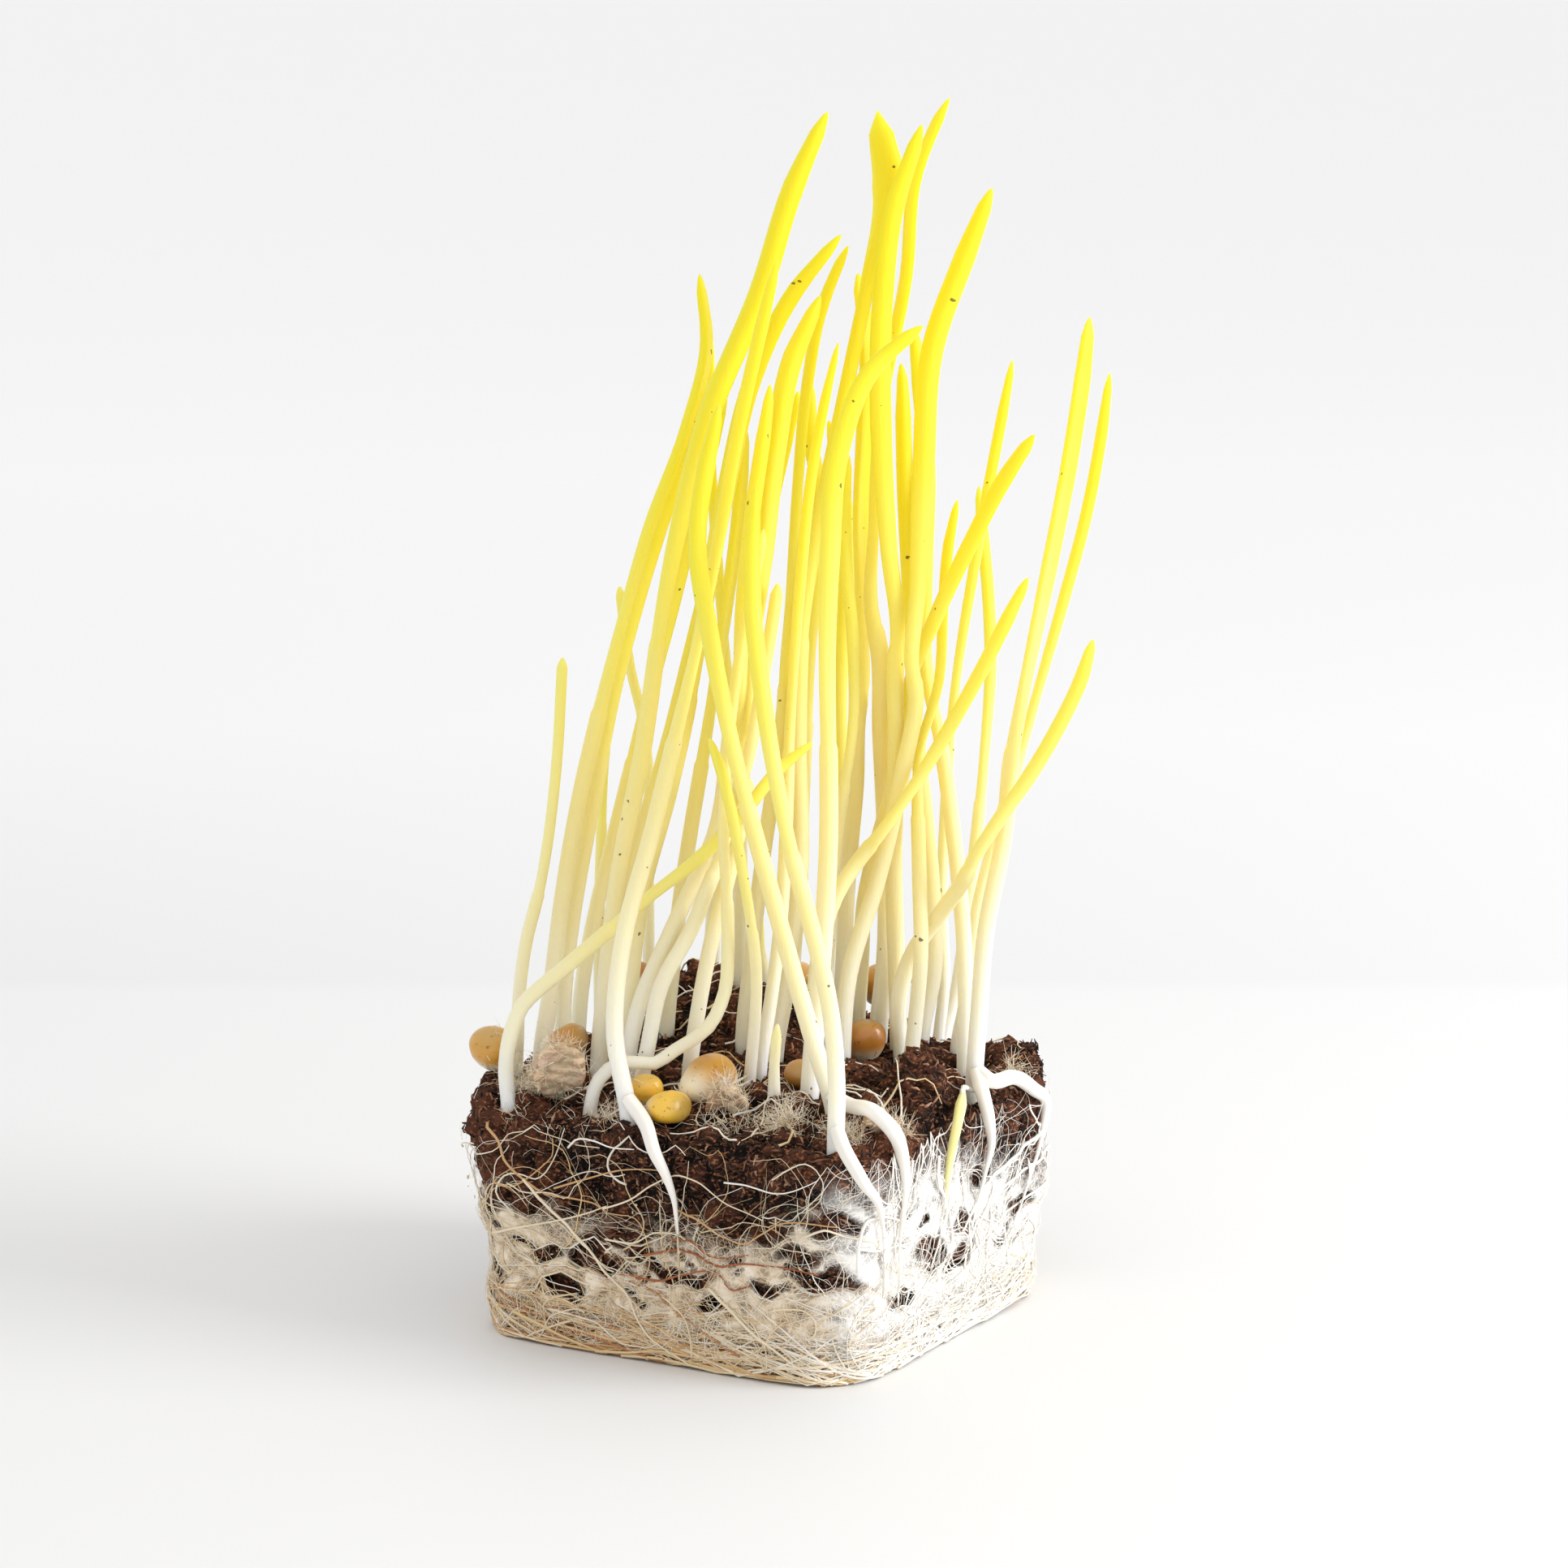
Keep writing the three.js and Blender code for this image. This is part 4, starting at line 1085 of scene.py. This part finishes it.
def face_roots():
    routes = [(r * MM, tint, [on_face(face, *place) for place in places])
              for face, roots in ((LEFT, LEFT_ROOTS), (RIGHT, RIGHT_ROOTS))
              for r, tint, places in roots]
    paths = [kept_outside(drawn_root(places), WEB_DEPTH + 0.6 * r) for r, _, places in routes]
    radii = [r * np.linspace(1, 0.5, len(path)) for (r, _, _), path in zip(routes, paths)]
    return strand_mesh("face_roots", paths, radii, [tint for _, tint, _ in routes], roundness=1)


place_piece("face_roots", face_roots(), root_skin)

# %% [markdown]
# Thick white roots leave the feet of the front shoots. Each has its shoot, its face, its arch as
# across, deep and high, and its way down the face as across and high. One yellow sprout starts freely.

# %% Stem roots
STEM_ROOTS = [
    ("shoot_08", LEFT, [(-16.4, -26.8, 34.6)],
     [(-15, 31.4), (-13.6, 28.6), (-12.5, 25.5), (-11.9, 20)]),
    ("shoot_16", RIGHT, [(11.2, -41.5, 34.8)],
     [(13.8, 31), (15.8, 27), (16.8, 18), (16.5, 10)]),
    ("shoot_15", RIGHT, [(12.4, -31.5, 38.4), (15.2, -36, 38.8), (17.8, -37.5, 36.6)],
     [(19.3, 32), (19.6, 25), (19, 19), (18.8, 10)]),
    ("shoot_22", RIGHT, [(32.4, -9.4, 36.4), (35.6, -5.6, 36)],
     [(38.8, 33), (40.8, 30), (40.4, 26), (38, 18), (34.5, 10)]),
    ("shoot_22", RIGHT, [(31, -10.8, 35.4)],
     [(32, 31.5), (32.4, 28), (31.4, 23), (29.5, 16), (28.5, 10)]),
]
SIDE_SPROUT = (RIGHT, [(28.4, -12, 36.2)],
               [(27.2, 33), (26.2, 28.4), (25.5, 22)])
SPROUT_SHARES = [0, 0.25, 0.6, 1]
SPROUT_RADII = [0.25, 0.85, 0.68, 0.2]
SPROUT_RIPE = 0.34
STEM_ROOT_CLEAR = 1.05
STEM_START = 0.3
THIN_HEIGHTS = [12, 19, 24, 28, 32, 36]
THIN_RADII = [0.12, 0.18, 0.34, 0.66, 0.98, 1.12]


def arched(face, arch, down):
    return [seen(*p) for p in arch] + [on_face(face, *p, STEM_ROOT_CLEAR) for p in down]


def stem_path(shoot, *way):
    ground, above = read_shoot(shoot)[0][1:3]
    start = Vector(ground + STEM_START * (above - ground))
    return drawn_root([start] + arched(*way))


def stem_radii(path):
    return MM * np.interp(path[:, 2] / MM, THIN_HEIGHTS, THIN_RADII)


def stem_roots():
    paths = [stem_path(*root) for root in STEM_ROOTS]
    radii = [stem_radii(path) for path in paths]
    return strand_mesh("stem_roots", paths, radii, np.full(len(paths), WHITE), roundness=2)


def side_sprout():
    path = drawn_root(arched(*SIDE_SPROUT))
    radii = MM * np.interp(np.linspace(0, 1, len(path)), SPROUT_SHARES, SPROUT_RADII)
    mesh = strand_mesh("side_sprout", [path], [radii], [0.0], roundness=2)
    write_attribute(mesh, "ripe", np.full(len(mesh.vertices), SPROUT_RIPE))
    return mesh


place_piece("stem_roots", stem_roots(), root_skin)
place_piece("side_sprout", side_sprout(), flesh)

# %% [markdown]
# ## Chips in the soil
# Peat and coir show as short chips that lie every way and catch the light. They are drawn over the
# soil's faces on the top and the upper sides only, since roots hide the rest.

# %% Soil chips
CHIP_COUNT = 5600
CHIP_FLOOR = 11 * MM
CHIP_INSIDE = 29.5 * MM
CHIP_UPWARD = 0.35
CHIP_SWELL = [[0.6, 1.0, 0.4]]


def open_soil_faces(mesh):
    centres = read_vectors(mesh.polygons, "center")
    normals = read_vectors(mesh.polygons, "normal")
    inside = np.abs(centres[:, :2]).max(axis=1) < CHIP_INSIDE
    covered = (centres[:, 2] < CHIP_FLOOR) | (inside & (normals[:, 2] < CHIP_UPWARD))
    return centres[~covered], normals[~covered]


def soil_chips():
    draw = np.random.default_rng(89)
    centres, normals = open_soil_faces(soil_mesh)
    picked = draw.integers(0, len(centres), CHIP_COUNT)
    place, up = centres[picked], normals[picked]
    lean = np.cross(up, draw.normal(0, 1, (CHIP_COUNT, 3)))
    rise = draw.uniform(-0.1, 0.5, CHIP_COUNT)[:, None]
    lean = lean / np.linalg.norm(lean, axis=1)[:, None] + up * rise
    half = draw.uniform(0.35, 1.1, CHIP_COUNT)[:, None] * MM
    bow = up * draw.uniform(0.1, 0.35, CHIP_COUNT)[:, None] * MM
    paths = np.stack([place - lean * half, place + bow, place + lean * half], axis=1)
    thick = draw.uniform(0.08, 0.26, CHIP_COUNT)[:, None] * MM
    radii = thick * np.array(CHIP_SWELL)
    return strand_mesh("soil_chips", paths, radii, draw.random(CHIP_COUNT) ** 1.6)


def chip_finish():
    f = Finish("coir_chip", Specular_IOR_Level=0.3)
    tint = f.attribute("tint")
    spots = f.cloud(900.0, 2.0)
    colour = f.ramp(tint + (spots - 0.5) * 0.2, [
        (0.0, 44, 27, 20),
        (0.4, 82, 52, 38),
        (0.75, 132, 90, 68),
        (1.0, 186, 144, 116),
    ])
    return f.links(Base_Color=colour, Roughness=0.85 - 0.25 * spots)


place_piece("soil_chips", soil_chips(), chip_finish())

# %% [markdown]
# ## Grains
# A popcorn grain is amber and glossy, with a broad crown, a narrow pale tip and dust from the soil.

# %% Grain finish
def grain_finish():
    f = Finish("grain_coat", Coat_Roughness=0.2, Specular_IOR_Level=0.45,
               Subsurface_Weight=0.2, Subsurface_Scale=0.0015)
    crown = f.attribute("crown")
    tint = f.attribute("tint")
    cloud = f.cloud(260.0, 3.0)
    specks = f.cloud(1400.0, 2.0)
    body = f.ramp(tint + (cloud - 0.5) * 0.25, [
        (0.0, 248, 200, 66),
        (0.5, 214, 156, 58),
        (1.0, 172, 100, 36),
    ])
    pale = f.mix(f.between(crown, 0.12, 0.55), (250, 240, 212), body)
    olive = f.mix(f.between(crown + cloud * 0.3, 0.9, 1.2) * 0.6, pale, (188, 160, 96))
    dusty = f.mix(f.between(specks, 0.62, 0.74) * 0.5, olive, (70, 44, 28))
    return f.links(
        Base_Color=dusty,
        Roughness=0.22 + 0.3 * cloud,
        Coat_Weight=0.8 - 0.6 * f.between(specks, 0.5, 0.7),
        Normal=f.bump(cloud, 0.25, 0.0004),
    )


grain_skin = grain_finish()
print("finish:", grain_skin.name)

# %% [markdown]
# A sphere is reshaped to a rounded wedge with a hollow over the germ, along the axes of the node.

# %% Grain shapes
GRAIN_TINTS = [0.45, 0.7, 0.1, 0.05, 0.5, 0.85, 0.9, 0.8, 0.4, 0.6]
CROWN_FULLNESS = 0.22
GERM_DEPTH, GERM_WIDE, GERM_LONG, GERM_BELOW = 0.22, 0.4, 0.55, 0.15
DENT_DEPTH, DENT_SPREAD = 0.07, 0.12
WRINKLE, WRINKLE_SCALE, WRINKLE_APART = 0.035, 1.7, 40


def read_grain(node):
    """Tip, crown, and the two half widths with their directions, from the node's rings."""
    shape = merged_copy(node)
    shape.verts.index_update()
    poles = sorted(shape.verts, key=lambda v: -len(v.link_edges))[:2]
    rings = rings_from(poles[0])
    shape.free()
    if spread(rings[1])[0][0] > spread(rings[-2])[0][0]:
        rings = rings[::-1]
    halves, axes = spread(rings[len(rings) // 2])
    return Vector(rings[0][0]), Vector(rings[-1][0]), halves, axes


def grain_mesh(node, tint, draw):
    tip, crown, halves, axes = read_grain(node)
    middle = (tip + crown) / 2
    along = (crown - tip) / 2
    side, front = Vector(axes[0]), Vector(axes[1])
    seed = Vector((draw.random(), draw.random(), draw.random())) * WRINKLE_APART
    shape = bmesh.new()
    bmesh.ops.create_uvsphere(shape, u_segments=30, v_segments=20, radius=1)
    crowns = []
    for corner in shape.verts:
        x, y, z = corner.co
        full = 1 + CROWN_FULLNESS * z
        hollow = math.exp(-(x / GERM_WIDE) ** 2 - ((z + GERM_BELOW) / GERM_LONG) ** 2)
        germ = GERM_DEPTH * max(0.0, y) * hollow
        dent = DENT_DEPTH * math.exp(-(x * x + y * y) / DENT_SPREAD) * max(0.0, z)
        wrinkle = 1 + WRINKLE * noise.fractal(corner.co * WRINKLE_SCALE + seed, 1.0, 2.0, 2)
        crowns.append((z + 1) / 2)
        corner.co = (middle + along * (z - dent) + side * (halves[0] * x * full * wrinkle)
                     + front * (halves[1] * (y - germ) * full * wrinkle))
    mesh = mesh_of(shape, node)
    write_attribute(mesh, "crown", crowns)
    write_attribute(mesh, "tint", np.full(len(crowns), tint))
    return mesh


grain_draw = random.Random(5)
grain_names = sorted(n for n in nodes if n.startswith("grain"))
for name, tint in zip(grain_names, GRAIN_TINTS):
    place_piece("fine_" + name, grain_mesh(name, tint, grain_draw), grain_skin, [name])

# %% [markdown]
# ## Husks
# Split husks are thin, curled and wrinkled, and light shines through them. The node already has the
# curl, so a merged copy is subdivided smoothly and folded.

# %% Husks
HUSK_FOLD = 1.5 * MM
HUSK_CREASE = 0.35 * MM
FOLD_SIZE = Vector((2.6, 2.6, 8)) * MM
CREASE_SIZE = Vector((1.6, 1.6, 3)) * MM
HUSK_CUTS = 5


def husk_finish():
    f = Finish("husk_skin", Specular_IOR_Level=0.4, Subsurface_Weight=0.5, Subsurface_Scale=0.0015)
    veins = f.cloud(420.0, 4.0, f.place(scale=(1, 1, 3)))
    patches = f.cloud(170.0, 2.0)
    beige = f.mix(veins, (198, 164, 120), (242, 226, 200))
    pink = f.mix(f.between(patches, 0.62, 0.74) * 0.5, beige, (222, 168, 180))
    return f.links(
        Base_Color=pink,
        Alpha=0.5 + 0.5 * f.between(veins, 0.4, 0.6),
        Roughness=0.45 + 0.3 * veins,
        Normal=f.bump(veins, 0.5, 0.0004),
    )


def husk_mesh(node):
    shape = merged_copy(node)
    bmesh.ops.subdivide_edges(shape, edges=shape.edges, cuts=HUSK_CUTS, smooth=1.0, use_grid_fill=True)
    shape.normal_update()
    for corner in shape.verts:
        fold_at, crease_at = ([c / size for c, size in zip(corner.co, sizes)]
                              for sizes in (FOLD_SIZE, CREASE_SIZE))
        fold = noise.noise(fold_at)
        crease = noise.ridged_multi_fractal(crease_at, 0.9, 2, 3, 1, 2)
        corner.co += corner.normal * (HUSK_FOLD * fold + HUSK_CREASE * (crease - 1))
    return mesh_of(shape, node)


husk_skin = husk_finish()
husk_names = sorted(n for n in nodes if n.startswith("husk"))
for name in husk_names:
    place_piece("fine_" + name, husk_mesh(name), husk_skin, [name])

# %% [markdown]
# ## On the top
# Rays cast straight down give the height of the soil, with and without grains and husks, in a table.

# %% Height of the top
TOP_HALF = 36 * MM
TOP_CELLS = 97
TOP_LEAST = 30 * MM


def top_table(resting):
    graph = bpy.context.evaluated_depsgraph_get()
    bodies = [BVHTree.FromObject(bpy.data.objects[name], graph) for name in resting]
    line = np.linspace(-TOP_HALF, TOP_HALF, TOP_CELLS)
    table = np.full((TOP_CELLS, TOP_CELLS), TOP_LEAST)
    for i, x in enumerate(line):
        for j, y in enumerate(line):
            met = [body.ray_cast(Vector((x, y, LOOK_FROM)), -UP)[0] for body in bodies]
            table[i, j] = max([TOP_LEAST] + [place.z for place in met if place])
    return np.max([np.roll(table, shift, axis) for shift in (-1, 0, 1) for axis in (0, 1)], axis=0)


soil_top = top_table(["fine_soil"])
resting_top = top_table(["fine_soil"] + ["fine_" + name for name in grain_names + husk_names])


def top_at(table, x, y):
    along_x, along_y = ((place + TOP_HALF) / (2 * TOP_HALF) * (TOP_CELLS - 1) for place in (x, y))
    return between_cells(table.T, np.clip(along_y, 0, TOP_CELLS - SHORT_OF_END), along_x)


print("top, mm:", soil_top.min() / MM, "to", resting_top.max() / MM)

# %% [markdown]
# Thin roots wander over the top between the shoots, as they do over the sides.

# %% Roots on the top
TOP_ROOTS = 90
TOP_STEPS = 10
TOP_STRIDE = 1.2 * MM
TOP_STARTS = 31 * MM
TOP_WANDER = 0.25
TOP_SUNK = 0.3


def top_roots():
    draw = np.random.default_rng(233)
    x, y = draw.uniform(-TOP_STARTS, TOP_STARTS, (2, TOP_ROOTS))
    heading = np.arctan2(-y, -x) + draw.normal(0, 0.9, TOP_ROOTS)
    drift = np.zeros(TOP_ROOTS)
    thick = draw.uniform(0.06, 0.24, TOP_ROOTS) * MM
    trail = []
    for _ in range(TOP_STEPS):
        trail.append(np.stack([x, y, top_at(soil_top, x, y) + TOP_SUNK * thick], axis=1))
        drift = DRIFT_KEPT * drift + draw.normal(0, TOP_WANDER, TOP_ROOTS)
        heading = heading + drift
        x, y = x + TOP_STRIDE * np.cos(heading), y + TOP_STRIDE * np.sin(heading)
    tints = np.clip(draw.normal(0.25, 0.15, TOP_ROOTS), 0, 0.7)
    return strand_mesh("top_roots", np.stack(trail, axis=1), taper(thick, TOP_STEPS, 0.5), tints)


place_piece("top_roots", top_roots(), root_skin)

# %% [markdown]
# Fine pale fuzz sits on the husks and between the feet of the shoots. Each tuft is given by how far
# across and how deep it is, its width, and its number of short bent hairs.

# %% Fuzz on the top
TUFTS = [(-30, -15.5, 5.0, 620), (-34, -12, 4.0, 240), (-22, -20, 4.0, 200), (-5, -26, 3.5, 320),
         (3, -29, 4.0, 420), (11, -33, 3.5, 320), (18, -29, 3.0, 160), (36, 2, 3.0, 100)]
FUZZ_STEPS = 4
FUZZ_STRIDE = 0.7 * MM
FUZZ_BOUND = 32.5 * MM
FUZZ_UPWARD = (0, 0, 0.5)
FUZZ_BEND, FUZZ_BEND_LENGTH = 0.6, 4 * MM
TUFT_SPREAD = 0.45


def top_fuzz():
    draw = np.random.default_rng(144)
    paths = []
    for across, depth, wide, count in TUFTS:
        middle = np.array(seen(across, depth, 0))
        start = middle + draw.normal(0, TUFT_SPREAD * wide * MM, (count, 3))
        start[:, :2] = np.clip(start[:, :2], -FUZZ_BOUND, FUZZ_BOUND)
        start[:, 2] = top_at(resting_top, start[:, 0], start[:, 1])
        heading = draw.normal(0, 1, (count, 3)) + np.array(FUZZ_UPWARD)
        heading /= np.linalg.norm(heading, axis=1)[:, None]
        bend = draw.normal(0, FUZZ_BEND, (count, 3))
        along = (np.arange(FUZZ_STEPS) * FUZZ_STRIDE)[None, :, None]
        curve = bend[:, None] * along**2 / FUZZ_BEND_LENGTH
        paths.append(start[:, None] + heading[:, None] * along + curve)
    paths = np.concatenate(paths)
    radii = taper(draw.uniform(0.025, 0.055, len(paths)) * MM, FUZZ_STEPS, 0.4)
    tints = np.clip(draw.normal(0.3, 0.14, len(paths)), 0, 0.7)
    return strand_mesh("top_fuzz", paths, radii, tints)


place_piece("top_fuzz", top_fuzz(), root_skin)

# %% [markdown]
# ## Floor and light
# A white floor with painted light and shade: its grey is darker near the plug, where the lamp is strong,
# a step darker still about 0.2 m behind it for the foot of a wall, and paler far back, where the lamp is
# weak. A white surround gives the fill, and one large soft lamp from the right leaves a soft shadow on the
# left.

# %% Floor and light
FLOOR_HALF = 12.0
LAMP_AT, LAMP_TARGET = (690, -190, 320), (0, 0, 60)
LAMP_SIZE, LAMP_POWER = 0.40, 4.5
SURROUND = 0.9
FLOOR_PAINTED_GREYS = [(0.0, 235), (0.198, 236), (0.208, 233), (0.45, 247), (0.85, 254)]


def make_floor():
    shape = bmesh.new()
    bmesh.ops.create_grid(shape, x_segments=1, y_segments=1, size=FLOOR_HALF)
    floor = bpy.data.objects.new("floor", mesh_of(shape, "floor"))
    bpy.context.scene.collection.objects.link(floor)
    f = Finish("white_table", Roughness=0.6, Specular_IOR_Level=0.25)
    behind = f.along("Y", turn=(0, 0, -VIEW_TURN))
    # Painted light and shade: the floor's grey changes with the distance behind the plug.
    pale = f.ramp(behind, [(place, grey, grey, grey) for place, grey in FLOOR_PAINTED_GREYS])
    floor.data.materials.append(f.links(Base_Color=pale))


def add_lamp(name, place, size, power, target):
    lamp = bpy.data.objects.new(name, bpy.data.lights.new(name, "AREA"))
    lamp.data.size = size
    lamp.data.energy = power
    lamp.location = place
    lamp.rotation_mode = "QUATERNION"
    lamp.rotation_quaternion = (target - place).to_track_quat("-Z", "Y")
    bpy.context.scene.collection.objects.link(lamp)


make_floor()
add_lamp("key", seen(*LAMP_AT), LAMP_SIZE, LAMP_POWER, seen(*LAMP_TARGET))
world = bpy.data.worlds.new("surround")
world.use_nodes = True
background = world.node_tree.nodes["Background"]
background.inputs["Color"].default_value = (1.0, 1.0, 1.0, 1)
background.inputs["Strength"].default_value = SURROUND
bpy.context.scene.world = world
bpy.context.scene.view_settings.view_transform = "Standard"
print("floor, key lamp and surround are set")
